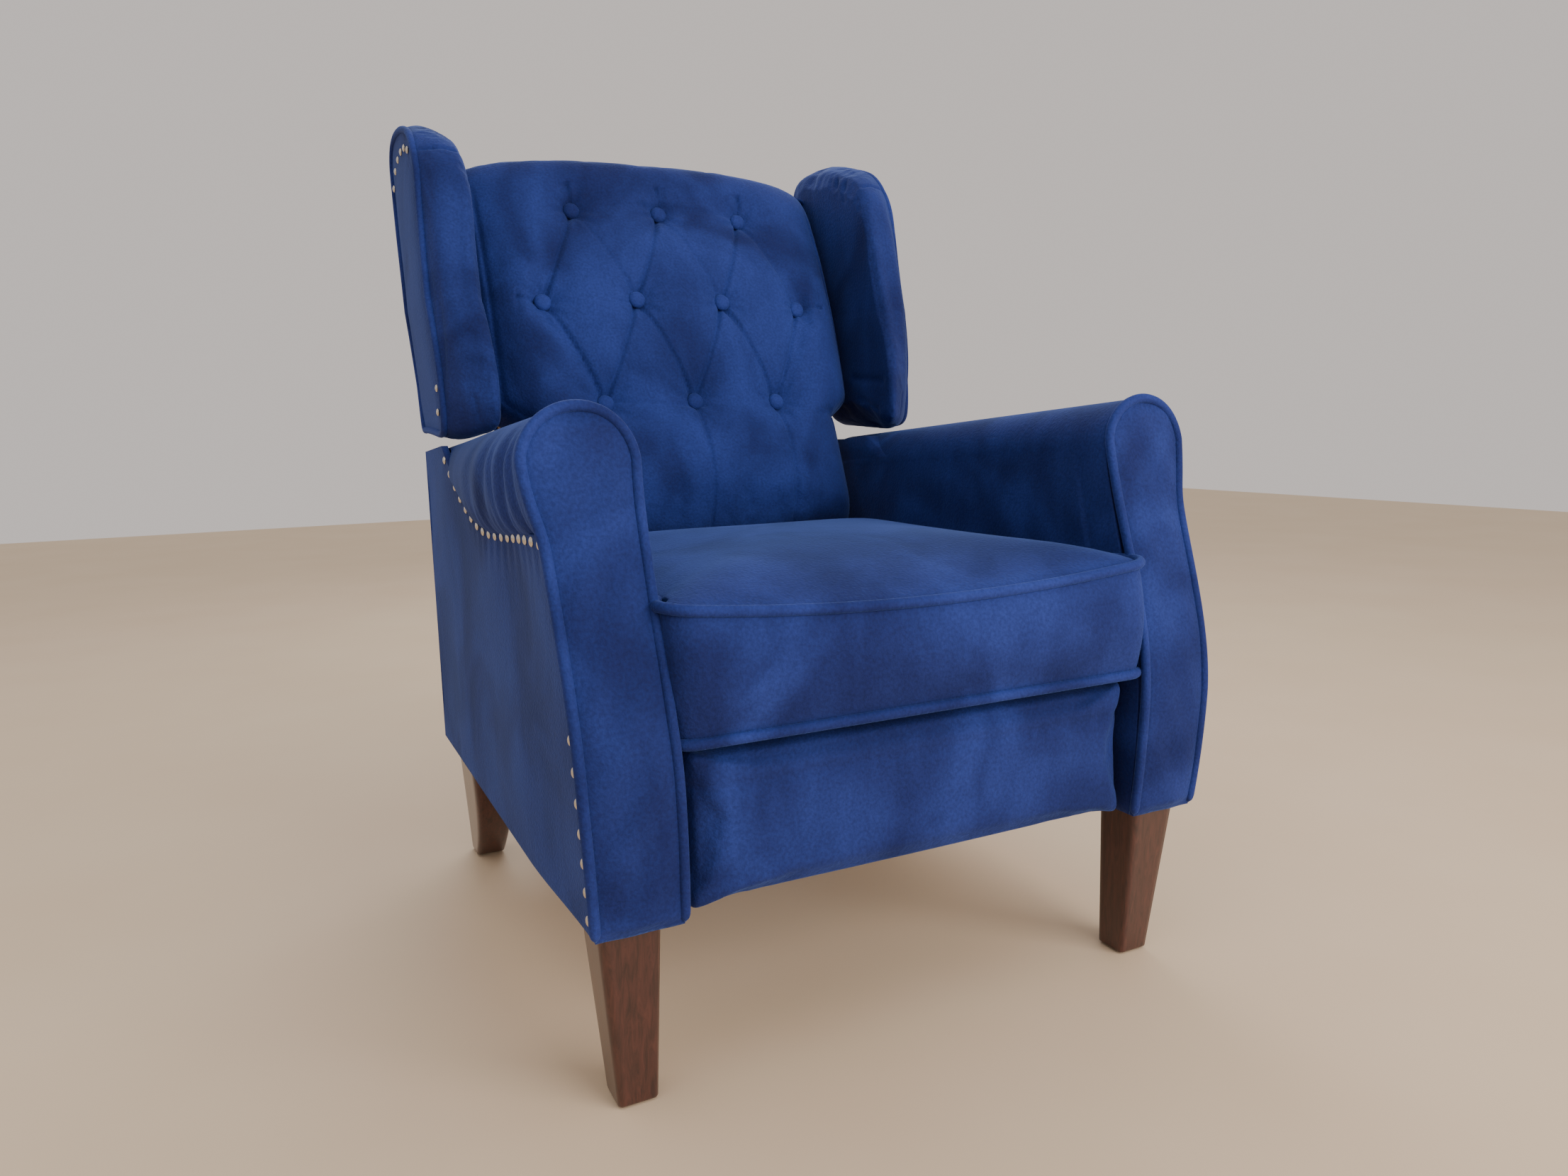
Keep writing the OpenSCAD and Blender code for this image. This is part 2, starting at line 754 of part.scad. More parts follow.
module wing_pad() {
  color(blue) difference() {
    side_slab(wing_x, wing_out) wing_outline();
    side_slab(wing_board_x - gap, wing_out + 1) wing_core_outline();
    for (v = wing_rail_rows)
      leaning() block([wing_x - 5, stile_y[0] - gap, v - gap],
        [wing_board_x, stile_y[1] + gap, v + back_rail_h + gap]);
  }
}

module wing_core(x0, x1) {
  side_slab(x0, x1) intersection() {
    wing_core_outline();
    translate([gap, 0]) wing_core_outline();
    translate([-gap, 0]) wing_core_outline();
  }
}

module wing_board() {
  color(wood) wing_core(wing_board_x, wing_board_x + wing_board_t);
}

module wing_cover() {
  color(foam) wing_core(wing_board_x + wing_board_t + gap, wing_out);
}

wing_nails = 2;
wing_top_nails = 6;
module wing_nails_one_side() {
  color("silver") {
    for (i = [0 : wing_nails - 1]) {
      z = 636 + i * 27;
      y = wing_front_y + 12 + 36 * pow(max(0, z - 640) / 270, 1.6);
      translate([wing_out, y, z]) rotate([0, 90, 0]) nailhead();
    }
    for (i = [0 : wing_top_nails - 1]) {
      t = i / (wing_top_nails - 1);
      translate([wing_out, 205 + 150 * t, 928 + 40 * sin(90 * t)]) rotate([0, 90, 0]) nailhead();
    }
  }
}

// Bracket screwed to the outside of a stile, with the back hinge's eye
back_bracket_x = seat_rail_x + gap;
module back_bracket() {
  color(steel) difference() {
    union() {
      leaning() block([back_bracket_x, stile_y[0] + 1, 20],
        [back_bracket_x + steel_t, stile_y[1] - 1, 190]);
      bar(back_bracket_x, back_bracket_x + steel_t, hinge_y, hinge_z, hinge_eye_r);
    }
    bar(back_bracket_x - 1, back_bracket_x + steel_t + 1, hinge_y, hinge_z, hinge_r + run_fit);
  }
}

// Folding links of the footrest, in four planes side by side
module foot_front_link() {
  color(steel) {
    difference() {
      link(foot_a_x, [crank_y, crank_z], knee, foot_w);
      bar(foot_a_x - 1, foot_a_x + steel_t + 1, crank_y, crank_z, stud_r + run_fit);
    }
    bar(foot_b_x - 1, foot_a_x + steel_t + rivet, knee[0], knee[1], stud_r);
  }
}

module foot_rear_link() {
  color(steel) {
    difference() {
      union() {
        link(foot_c_x, [crank_y + foot_pair, crank_z], pair_knee, foot_w);
        link(foot_c_x, pair_knee, stay_start, foot_w);
      }
      bar(foot_c_x - 1, foot_c_x + steel_t + 1, crank_y + foot_pair, crank_z, stud_r + run_fit);
    }
    bar(foot_c_x - rivet, foot_b_x + steel_t + 1, pair_knee[0], pair_knee[1], stud_r);
    bar(foot_d_x - 1, foot_c_x + steel_t + rivet, stay_start[0], stay_start[1], stud_r - 1);
  }
}

module foot_long_link() {
  color("gray") {
    difference() {
      union() {
        link(foot_b_x, knee, foot_pivot, foot_w);
        link(foot_b_x, knee, pair_knee, foot_w);
      }
      bar(foot_b_x - 1, foot_b_x + steel_t + 1, knee[0], knee[1], stud_r + run_fit);
      bar(foot_b_x - 1, foot_b_x + steel_t + 1, pair_knee[0], pair_knee[1], stud_r + 2);
    }
    bar(foot_c_x + 1, foot_b_x + steel_t + rivet, foot_pivot[0], foot_pivot[1], stud_r);
  }
}

// The stay is open at its footrest end, where a wide eye leaves the stud free
module foot_stay() {
  color("gray") difference() {
    link(foot_d_x, stay_start, stay_end, foot_w);
    bar(foot_d_x - 1, foot_d_x + steel_t + 1, stay_start[0], stay_start[1], stud_r - 1 + run_fit);
    bar(foot_d_x - 1, foot_d_x + steel_t + 1, stay_end[0], stay_end[1], stud_r + 1);
  }
}

foot_face_y = foot_rear - foot_board_t;
module foot_bracket() {
  color(steel) {
    difference() {
      union() {
        link(foot_c_x, foot_pivot, stay_end, foot_w);
        side_slab(foot_c_x, foot_c_x + steel_t)
          polygon([[foot_rear, 200], [foot_rear + 4, 200], [foot_pivot[0] + 8, foot_pivot[1] - 8],
            [foot_pivot[0] + 4, foot_pivot[1] + 10], [foot_rear, 276]]);
        block([foot_c_x - 26, foot_rear, 200], [foot_c_x + 1, foot_rear + steel_t, 276]);
      }
      bar(foot_c_x - 1, foot_c_x + steel_t + 1, foot_pivot[0], foot_pivot[1], stud_r + run_fit);
    }
    bar(foot_d_x - 1, foot_c_x + steel_t + rivet, stay_end[0], stay_end[1], stud_r - 1);
  }
}

module footrest_board() {
  color(wood) block([-foot_x + 6, foot_face_y, foot_low + 4], [foot_x - 6, foot_rear, foot_low + foot_h - 4]);
}

module footrest_pad() {
  r = foot_pad_t / 2;
  y0 = foot_face_y - foot_pad_t;
  color(blue) side_slab(-foot_x, foot_x) {
    translate([y0 + r, foot_low + r]) circle(r = r);
    translate([y0 + r, foot_low + foot_h - r]) circle(r = r);
    translate([y0, foot_low + r]) square([foot_pad_t - gap, foot_h - 2 * r]);
    translate([y0 + r, foot_low]) square([r - gap, foot_h]);
  }
}

side_board();  // left_side_board
mirror([1, 0, 0]) side_board();  // right_side_board
front_board();  // left_front_board
mirror([1, 0, 0]) front_board();  // right_front_board
both() bottom_rail();  // bottom_rails
both() arm_rail();  // arm_rails
arm_pad();  // left_arm_pad
mirror([1, 0, 0]) arm_pad();  // right_arm_pad
front_facing();  // left_front_facing
mirror([1, 0, 0]) front_facing();  // right_front_facing
side_cover();  // left_side_cover
mirror([1, 0, 0]) side_cover();  // right_side_cover
both() arm_nails_one_side();  // arm_nailheads
cross_rail();
rear_rail();
base_back_cover();
front_leg();  // left_front_leg
mirror([1, 0, 0]) front_leg();  // right_front_leg
rear_leg();  // left_rear_leg
mirror([1, 0, 0]) rear_leg();  // right_rear_leg
both() for (y = [front_leg_y, rear_leg_y]) leg_bolt(y);  // leg_bolts
both() for (y = [front_foot_y2, rear_foot_y2]) leg_glide(y);  // leg_glides
both() base_plate();  // base_plates
both() for (y = plate_bolt_y) plate_bolt(y);  // mechanism_bolts
both() glide_link(front_foot_y, front_top_y);  // front_links
cross_shaft(front_top_y);  // front_shaft
both() glide_link(rear_foot_y, rear_top_y);  // rear_links
cross_shaft(rear_top_y);  // rear_shaft
seat_plate();  // left_seat_plate
mirror([1, 0, 0]) seat_plate();  // right_seat_plate
seat_rail();  // left_seat_rail
mirror([1, 0, 0]) seat_rail();  // right_seat_rail
front_seat_rail();
rear_seat_rail();
for (i = [0 : spring_count - 1])  // seat_springs
    translate([(i - (spring_count - 1) / 2) * spring_pitch, 0, 0]) seat_spring();
seat_cushion();
both() stile();  // back_stiles
back_top_rail();
back_wing_rail();
back_bottom_rail();
for (v = strap_rows) back_strap(v);  // back_straps
back_cushion();
back_cover();
button_grid() back_button();  // back_buttons
both() wing_board();  // wing_boards
wing_pad();  // left_wing_pad
mirror([1, 0, 0]) wing_pad();  // right_wing_pad
wing_cover();  // left_wing_cover
mirror([1, 0, 0]) wing_cover();  // right_wing_cover
both() wing_nails_one_side();  // wing_nailheads
both() back_bracket();  // back_brackets
both() foot_front_link();  // foot_front_links
both() foot_rear_link();  // foot_rear_links
both() foot_long_link();  // foot_long_links
both() foot_stay();  // foot_stays
both() foot_bracket();  // foot_brackets
footrest_board();
footrest_pad();
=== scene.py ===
# Wingback push-back recliner in blue velvet, dressed over its working frame.
# Metres; the sitter faces -Y, +Z is up, and left is the sitter's left (+X).
import json
import math

import bmesh
import bpy
import numpy as np
from mathutils import Matrix


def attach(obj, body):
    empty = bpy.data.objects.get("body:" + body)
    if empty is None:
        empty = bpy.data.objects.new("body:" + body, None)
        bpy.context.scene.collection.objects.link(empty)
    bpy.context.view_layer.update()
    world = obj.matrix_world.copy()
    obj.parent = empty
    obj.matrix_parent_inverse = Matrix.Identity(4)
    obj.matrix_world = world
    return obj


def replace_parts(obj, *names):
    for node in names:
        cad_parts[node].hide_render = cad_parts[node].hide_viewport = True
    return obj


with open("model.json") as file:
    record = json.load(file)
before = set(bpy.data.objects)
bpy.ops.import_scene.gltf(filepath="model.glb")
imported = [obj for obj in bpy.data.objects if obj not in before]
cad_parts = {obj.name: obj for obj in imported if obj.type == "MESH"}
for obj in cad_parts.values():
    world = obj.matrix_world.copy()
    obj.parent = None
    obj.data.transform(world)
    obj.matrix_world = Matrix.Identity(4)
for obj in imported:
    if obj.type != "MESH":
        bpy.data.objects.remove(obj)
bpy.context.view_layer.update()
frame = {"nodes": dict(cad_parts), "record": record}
print("frame loaded")


def smooth(t):
    # 0 to 1 with level ends: t squared times (3 - 2t)
    t = np.clip(t, 0, 1)
    return t * t * (3 - 2 * t)


def bell(distance, width):
    # 1 at the middle, falling to nothing: e to the minus (distance / width) squared
    return np.exp(-(distance / width) ** 2)


def meshPiece(name, points, faceSets, material):
    # One mesh from an array of points and arrays of faces, turned outwards and shaded smooth
    mesh = bpy.data.meshes.new(name)
    corners = np.concatenate([faces.ravel() for faces in faceSets])
    sizes = np.concatenate([np.full(len(faces), faces.shape[1]) for faces in faceSets])
    mesh.vertices.add(len(points))
    mesh.vertices.foreach_set("co", np.ascontiguousarray(points, np.float32).ravel())
    mesh.loops.add(len(corners))
    mesh.loops.foreach_set("vertex_index", corners.astype(np.int32))
    mesh.polygons.add(len(sizes))
    mesh.polygons.foreach_set("loop_start", np.concatenate([[0], np.cumsum(sizes)[:-1]]).astype(np.int32))
    mesh.update(calc_edges=True)
    work = bmesh.new()
    work.from_mesh(mesh)
    bmesh.ops.remove_doubles(work, verts=work.verts, dist=1e-6)
    bmesh.ops.recalc_face_normals(work, faces=work.faces)
    work.to_mesh(mesh)
    work.free()
    mesh.polygons.foreach_set("use_smooth", np.ones(len(mesh.polygons), bool))
    piece = bpy.data.objects.new(name, mesh)
    bpy.context.scene.collection.objects.link(piece)
    mesh.materials.append(material)
    return piece


def gridFaces(rows, cols, around=False, first=0):
    # Quads between neighbouring grid points; around joins the last column to the first
    index = first + np.arange(rows * cols).reshape(rows, cols)
    if around:
        index = np.hstack([index, index[:, :1]])
    return np.stack([index[:-1, :-1], index[:-1, 1:], index[1:, 1:], index[1:, :-1]], -1).reshape(-1, 4)


def loopPiece(name, grid, material):
    # A closed form from rows of closed loops, with a face over each end
    rows, cols = grid.shape[:2]
    faceSets = [gridFaces(rows, cols, around=True), np.arange(cols)[None],
                (rows - 1) * cols + np.arange(cols)[None]]
    return meshPiece(name, grid.reshape(-1, 3), faceSets, material)


def getPoints(piece):
    points = np.empty(len(piece.data.vertices) * 3, np.float32)
    piece.data.vertices.foreach_get("co", points)
    return points.reshape(-1, 3).astype(float)


def setPoints(piece, points):
    piece.data.vertices.foreach_set("co", points.astype(np.float32).ravel())
    piece.data.update()


def getNormals(piece):
    normals = np.empty(len(piece.data.vertices) * 3, np.float32)
    piece.data.vertex_normals.foreach_get("vector", normals)
    return normals.reshape(-1, 3).astype(float)


def bakeModifiers(piece):
    # Keeps what the modifiers make and drops them
    evaluated = piece.evaluated_get(bpy.context.evaluated_depsgraph_get())
    mesh = bpy.data.meshes.new_from_object(evaluated)
    piece.modifiers.clear()
    piece.data = mesh
    mesh.polygons.foreach_set("use_smooth", np.ones(len(mesh.polygons), bool))


def mirrorPiece(piece, name):
    # The same piece on the other side: x turned to -x and the faces flipped back outwards
    mesh = piece.data.copy()
    twin = bpy.data.objects.new(name, mesh)
    bpy.context.scene.collection.objects.link(twin)
    setPoints(twin, getPoints(twin) * [-1, 1, 1])
    mesh.flip_normals()
    return twin


def distanceTo(points, path):
    # Distance from each point to the nearest point of a path, a block of points at a time
    nearest = np.empty(len(points))
    for start in range(0, len(points), 20000):
        block = points[start:start + 20000, None] - path[None]
        nearest[start:start + 20000] = np.sqrt((block ** 2).sum(-1).min(1))
    return nearest


def swell(piece, voxel, pressure, reach, seams=None, hold=0.006, frames=20):
    # A stuffed cover: an even remesh blown up as cloth, held at its seams, moved at most reach
    remesh = piece.modifiers.new("remesh", "REMESH")
    remesh.mode = "VOXEL"
    remesh.voxel_size = voxel
    bakeModifiers(piece)
    still = getPoints(piece)
    cloth = piece.modifiers.new("cloth", "CLOTH")
    cloth.settings.quality = 4
    cloth.settings.mass = 0.3
    cloth.settings.use_pressure = True
    cloth.settings.uniform_pressure_force = pressure
    cloth.settings.effector_weights.gravity = 0
    if seams is not None:
        group = piece.vertex_groups.new(name="seam")
        group.add(np.flatnonzero(distanceTo(still, seams) < hold).tolist(), 1.0, "REPLACE")
        cloth.settings.vertex_group_mass = "seam"
    for step in range(1, frames + 1):
        bpy.context.scene.frame_set(step)
    bakeModifiers(piece)
    bpy.context.scene.frame_set(1)
    moved = getPoints(piece) - still
    length = np.maximum(np.linalg.norm(moved, axis=1), 1e-9)
    setPoints(piece, still + moved * (reach * np.tanh(length / reach) / length)[:, None])
    piece.vertex_groups.clear()
    subdivide = piece.modifiers.new("subdivide", "SUBSURF")
    subdivide.levels = 1
    subdivide.render_levels = 1
    bakeModifiers(piece)
    print(piece.name, "swelled", len(piece.data.polygons), "faces")


def press(piece, folds):
    # Folds and seams: points within width of a line from start to end sink by depth, less at its ends
    points, normals = getPoints(piece), getNormals(piece)
    sink = np.zeros(len(points))
    for start, end, width, depth in folds:
        start, end = np.array(start, float), np.array(end, float)
        along = ((points - start) @ (end - start)) / ((end - start) @ (end - start))
        away = np.linalg.norm(points - (start + np.clip(along, 0, 1)[:, None] * (end - start)), axis=1)
        ends = smooth(np.minimum(along, 1 - along) * 4 + 0.6)
        sink += depth * bell(away, width) * ends
    setPoints(piece, points - normals * sink[:, None])


def tube(name, path, radius, side, material, closed=False, ring=12):
    # Piping: circles square to the path, their first axis kept towards side
    path = np.asarray(path, float)
    if closed:
        ahead = np.roll(path, -1, 0) - np.roll(path, 1, 0)
    else:
        ahead = np.gradient(path, axis=0)
    ahead /= np.linalg.norm(ahead, axis=1)[:, None]
    first = np.asarray(side, float) - ahead * (ahead @ np.asarray(side, float))[:, None]
    first /= np.linalg.norm(first, axis=1)[:, None]
    second = np.cross(ahead, first)
    angle = np.linspace(0, 2 * np.pi, ring, endpoint=False)
    circle = first[:, None] * np.cos(angle)[None, :, None] + second[:, None] * np.sin(angle)[None, :, None]
    if closed:
        grid = path[:, None] + radius * circle
        faces = gridFaces(len(path) + 1, ring, around=True) % (len(path) * ring)
        return meshPiece(name, grid.reshape(-1, 3), [faces], material)
    swellEnds = np.sqrt(np.clip(1 - (1 - np.clip(np.minimum(np.arange(len(path)),
                                                            np.arange(len(path))[::-1]) / 3, 0, 1)) ** 2,
                                                            0.02, 1))
    grid = path[:, None] + radius * swellEnds[:, None, None] * circle
    return loopPiece(name, grid, material)


def evenly(path, count, closed=False):
    # Points at equal steps along a path
    path = np.asarray(path, float)
    if closed:
        path = np.vstack([path, path[:1]])
    length = np.concatenate([[0], np.cumsum(np.linalg.norm(np.diff(path, axis=0), axis=1))])
    at = np.linspace(0, length[-1], count, endpoint=not closed)
    return np.stack([np.interp(at, length, path[:, k]) for k in range(path.shape[1])], 1)


def roundOff(path, times=3, closed=True, share=0.25):
    # Cuts each corner again and again, a share of each side at a time
    path = np.asarray(path, float)
    for _ in range(times):
        ahead = np.roll(path, -1, 0)
        cut = np.stack([path * (1 - share) + ahead * share, path * share + ahead * (1 - share)],
                       1).reshape(-1, path.shape[1])
        path = cut if closed else np.vstack([path[:1], cut[:-2], path[-1:]])
    return path


def joined(name, pieces, material):
    # Several meshes in one
    points = np.concatenate([getPoints(piece) for piece in pieces])
    faceSets, first = [], 0
    for piece in pieces:
        mesh = piece.data
        total = np.empty(len(mesh.polygons), np.int32)
        mesh.polygons.foreach_get("loop_total", total)
        corners = np.empty(len(mesh.loops), np.int32)
        mesh.loops.foreach_get("vertex_index", corners)
        begin = np.concatenate([[0], np.cumsum(total)[:-1]])
        for size in np.unique(total):
            chosen = begin[total == size]
            faceSets.append(first + corners[chosen[:, None] + np.arange(size)])
        first += len(mesh.vertices)
        bpy.data.objects.remove(piece)
    return meshPiece(name, points, faceSets, material)


def srgb(hexColour, alpha=1.0):
    # sRGB hex to linear light
    values = [int(hexColour[k:k + 2], 16) / 255 for k in (1, 3, 5)]
    return tuple(v / 12.92 if v <= 0.04045 else ((v + 0.055) / 1.055) ** 2.4 for v in values) + (alpha,)


def addNode(tree, kind, settings=None, links=None):
    # A node with its settings and what feeds it, by socket name, socket number or attribute
    node = tree.nodes.new(kind)
    for key, value in (settings or {}).items():
        if isinstance(key, int) or key in node.inputs:
            node.inputs[key].default_value = value
        else:
            setattr(node, key, value)
    for key, source in (links or {}).items():
        tree.links.new(source, node.inputs[key])
    return node


def newMaterial(name, settings):
    material = bpy.data.materials.new(name)
    material.use_nodes = True
    tree = material.node_tree
    tree.nodes.clear()
    shader = addNode(tree, "ShaderNodeBsdfPrincipled", settings)
    addNode(tree, "ShaderNodeOutputMaterial", links={"Surface": shader.outputs[0]})
    return material, tree, shader, addNode(tree, "ShaderNodeTexCoord").outputs["Object"]


def mixColours(tree, factor, a, b, blend="MIX"):
    mix = addNode(tree, "ShaderNodeMix", {"data_type": "RGBA", "blend_type": blend})
    for socket, value in ((mix.inputs[0], factor), (mix.inputs[6], a), (mix.inputs[7], b)):
        if isinstance(value, (tuple, float, int)):
            socket.default_value = value
        else:
            tree.links.new(value, socket)
    return mix.outputs[2]


def addNoise(tree, place, size, detail, settings=None):
    # Noise with lumps of about the given size
    settings = {"Scale": 1 / size, "Detail": detail, **(settings or {})}
    return addNode(tree, "ShaderNodeTexNoise", settings, {"Vector": place}).outputs["Fac"]


def stretch(tree, source, fromRange, toRange=(0.0, 1.0), kind="LINEAR"):
    # A value carried from one range to another
    settings = {"From Min": fromRange[0], "From Max": fromRange[1], "To Min": toRange[0],
                "To Max": toRange[1]}
    return addNode(tree, "ShaderNodeMapRange", {**settings, "interpolation_type": kind},
                   {"Value": source}).outputs[0]


def addRelief(tree, shader, height, strength, distance, under=None):
    # Bump from a height, on top of another bump if one is given
    links = {"Height": height} if under is None else {"Height": height, "Normal": under}
    relief = addNode(tree, "ShaderNodeBump", {"Strength": strength, "Distance": distance}, links).outputs[0]
    tree.links.new(relief, shader.inputs["Normal"])
    return relief


velvet = {
    "laidDarkPaintedShade": "#182256",       # painted shade: pile brushed away from the light, its darker look painted into the colour
    "laidLightPaintedSheen": "#30418b",      # painted sheen: pile brushed towards the light, its brighter look painted into the colour
    "patch": 0.150,              # size of a brushed patch
    "streak": 0.045,             # width of a finger stroke, lightened in the colour as painted sheen
    "pebble": 0.0032,            # size of the pile's pebbling
    # How far the brushed patches and finger strokes lift the colour from the painted shade colour towards the
    # painted sheen colour
    "napSheenShare": 0.58,
    "strokeSheenShare": 0.14,
    "sheenTint": "#6484c6",
}


def makeVelvet(name, paintedShade=0.0):
    # Short-pile polyester velvet, knitted and brushed: patches of nap and finger strokes are painted light and
    # dark in the base colour, painted sheen and shade for how the brushed nap catches the lamp; the pile glows
    # where it is seen edge on, and close up it is pebbled rather than woven
    material, tree, shader, place = newMaterial(name, {
        "Roughness": 0.82, "IOR": 1.45, "Specular IOR Level": 0.16, "Sheen Weight": 0.48,
        "Sheen Roughness": 0.38, "Sheen Tint": srgb(velvet["sheenTint"])})
    turn = {"Rotation": (0.5, 0.3, 0.9), "Scale": (1.0, 1.0, 0.28)}
    turned = addNode(tree, "ShaderNodeMapping", turn, {"Vector": place}).outputs[0]
    patches = addNoise(tree, place, velvet["patch"], 2.0, {"Roughness": 0.45, "Distortion": 0.9})
    streaks = addNoise(tree, turned, velvet["streak"], 2.0, {"Distortion": 0.8})
    pebbles = addNoise(tree, place, velvet["pebble"], 2.0, {"Roughness": 0.6})
    # The brushed nap is real; its light and dark patches and lighter strokes are painted sheen and painted
    # shade in the base colour
    napSheenMask = stretch(tree, patches, (0.30, 0.68), kind="SMOOTHSTEP")
    strokeSheenMask = stretch(tree, streaks, (0.36, 0.74), (0.0, velvet["strokeSheenShare"]), "SMOOTHSTEP")
    both = addNode(tree, "ShaderNodeMath", {"operation": "MULTIPLY_ADD", 1: velvet["napSheenShare"]},
                   {0: napSheenMask, 2: strokeSheenMask})
    laidPaintedSheenColour = mixColours(tree, both.outputs[0], srgb(velvet["laidDarkPaintedShade"]), srgb(velvet["laidLightPaintedSheen"]))
    # The shift darkens the whole colour as painted shade; a negative value lightens it as a painted highlight
    grain = stretch(tree, pebbles, (0.3, 0.7), (0.80 - paintedShade, 1.14 - paintedShade))
    tree.links.new(mixColours(tree, 1.0, laidPaintedSheenColour, grain, "MULTIPLY"), shader.inputs["Base Color"])
    hollow = addRelief(tree, shader, pebbles, 0.35, 0.0022)
    addRelief(tree, shader, patches, 0.18, 0.012, under=hollow)
    return material


def makeWood(name, dark, light, ring, settings):
    # Grain drawn as noise bands of ring width, stretched along Z
    material, tree, shader, place = newMaterial(name, settings)
    drawn = addNode(tree, "ShaderNodeMapping", {"Scale": (1.0, 1.0, 0.12)}, {"Vector": place}).outputs[0]
    bands = addNoise(tree, drawn, ring, 6.0, {"Roughness": 0.62, "Distortion": 1.6})
    colour = mixColours(tree, stretch(tree, bands, (0.34, 0.68)), srgb(dark), srgb(light))
    tree.links.new(colour, shader.inputs["Base Color"])
    addRelief(tree, shader, bands, 0.12, 0.0006)
    rough = settings["Roughness"]
    tree.links.new(stretch(tree, bands, (0.0, 1.0), (rough - 0.06, rough + 0.1)),
                   shader.inputs["Roughness"])
    return material


def makeMetal(name, colour, rough, grit, metallic=1.0, depth=0.0003):
    # Metal or paint with a fine grit in its gloss
    settings = {"Metallic": metallic, "Base Color": srgb(colour), "Roughness": rough}
    material, tree, shader, place = newMaterial(name, settings)
    speckle = addNoise(tree, place, grit, 3.0)
    tree.links.new(stretch(tree, speckle, (0.0, 1.0), (rough - 0.1, rough + 0.14)),
                   shader.inputs["Roughness"])
    addRelief(tree, shader, speckle, 0.2, depth)
    return material


def makeWebbing():
    # Woven elastic webbing: ribs across the strap every few millimetres, coarser than the real
    # weave so that they show
    settings = {"Roughness": 0.9, "Specular IOR Level": 0.2}
    material, tree, shader, place = newMaterial("wovenElasticWebbing", settings)
    ribs = addNode(tree, "ShaderNodeTexWave", {
        "Scale": 40.0, "Distortion": 0.4, "bands_direction": "X", "wave_profile": "SIN"}, {"Vector": place})
    colour = mixColours(tree, ribs.outputs["Fac"], srgb("#16171a"), srgb("#3a3c42"))
    tree.links.new(colour, shader.inputs["Base Color"])
    addRelief(tree, shader, ribs.outputs["Fac"], 0.5, 0.001)
    return material


velvetCloth = makeVelvet("brushedPolyesterVelvet")
# Piping and buttons: the same velvet painted about a tenth lighter, a painted highlight for raised cloth
# catching the lamp
pipingVelvetWithPaintedHighlight = makeVelvet("pipingVelvetPaintedHighlight", paintedShade=-0.10)
# Satin lacquer over a red-brown stain
mahogany = makeWood("mahoganyStainedBeech", "#2e1511", "#4f2820", 0.006, {
    "Roughness": 0.34, "Coat Weight": 0.5, "Coat Roughness": 0.16, "IOR": 1.5})
# Bare, dry and pale
plywood = makeWood("birchPlywood", "#b08a5a", "#d6b888", 0.005, {"Roughness": 0.62, "IOR": 1.5})
# Baked powder, finely orange-peeled
blackSteel = makeMetal("powderCoatedSteel", "#1a1b1d", 0.5, 0.0012, metallic=0.0)
# Bright zinc with faint spangle
zincSteel = makeMetal("zincPlatedSteel", "#b9bab4", 0.32, 0.004)
# Drawn wire under a film of oil
springSteel = makeMetal("oiledSpringWire", "#55565a", 0.4, 0.003)
# Stamped domes
nailMetal = makeMetal("satinNickelPlate", "#cfc8bb", 0.26, 0.006, depth=0.0001)
# Moulded, slightly waxy
nylon = makeMetal("mouldedNylon", "#cfcabd", 0.5, 0.002, metallic=0.0)
webbing = makeWebbing()
print("materials made")


camera = {
    "place": (-0.555, -1.2206, 0.5981),
    "yaw": 26.35, "pitch": -8.93, "roll": -1.14,
    "lens": 24.76, "film": 36.0,
}


def addCamera():
    # Looks along yaw and pitch, then rolls about that line
    yaw, pitch, roll = (math.radians(camera[k]) for k in ("yaw", "pitch", "roll"))
    ahead = np.array([math.sin(yaw) * math.cos(pitch), math.cos(yaw) * math.cos(pitch), math.sin(pitch)])
    level = np.array([math.cos(yaw), -math.sin(yaw), 0.0])
    above = np.cross(level, ahead)
    right = level * math.cos(roll) + above * math.sin(roll)
    up = above * math.cos(roll) - level * math.sin(roll)
    lens = bpy.data.cameras.new("camera")
    lens.lens = camera["lens"]
    lens.sensor_width = camera["film"]
    lens.clip_start = 0.02
    view = bpy.data.objects.new("camera", lens)
    place = np.eye(4)
    place[:3, 0], place[:3, 1], place[:3, 2], place[:3, 3] = right, up, -ahead, camera["place"]
    view.matrix_world = Matrix(place.tolist())
    bpy.context.scene.collection.objects.link(view)
    bpy.context.scene.camera = view


def addSoftbox(name, place, target, size, power, colour):
    light = bpy.data.lights.new(name, "AREA")
    light.shape = "RECTANGLE"
    light.size, light.size_y = size
    light.energy = power
    light.color = srgb(colour)[:3]
    lamp = bpy.data.objects.new(name, light)
    away = np.array(place, float) - np.array(target, float)
    away /= np.linalg.norm(away)
    side = np.cross([0, 0, 1], away)
    side /= np.linalg.norm(side)
    matrix = np.eye(4)
    matrix[:3, 0], matrix[:3, 1], matrix[:3, 2], matrix[:3, 3] = side, np.cross(away, side), away, place
    lamp.matrix_world = Matrix(matrix.tolist())
    bpy.context.scene.collection.objects.link(lamp)


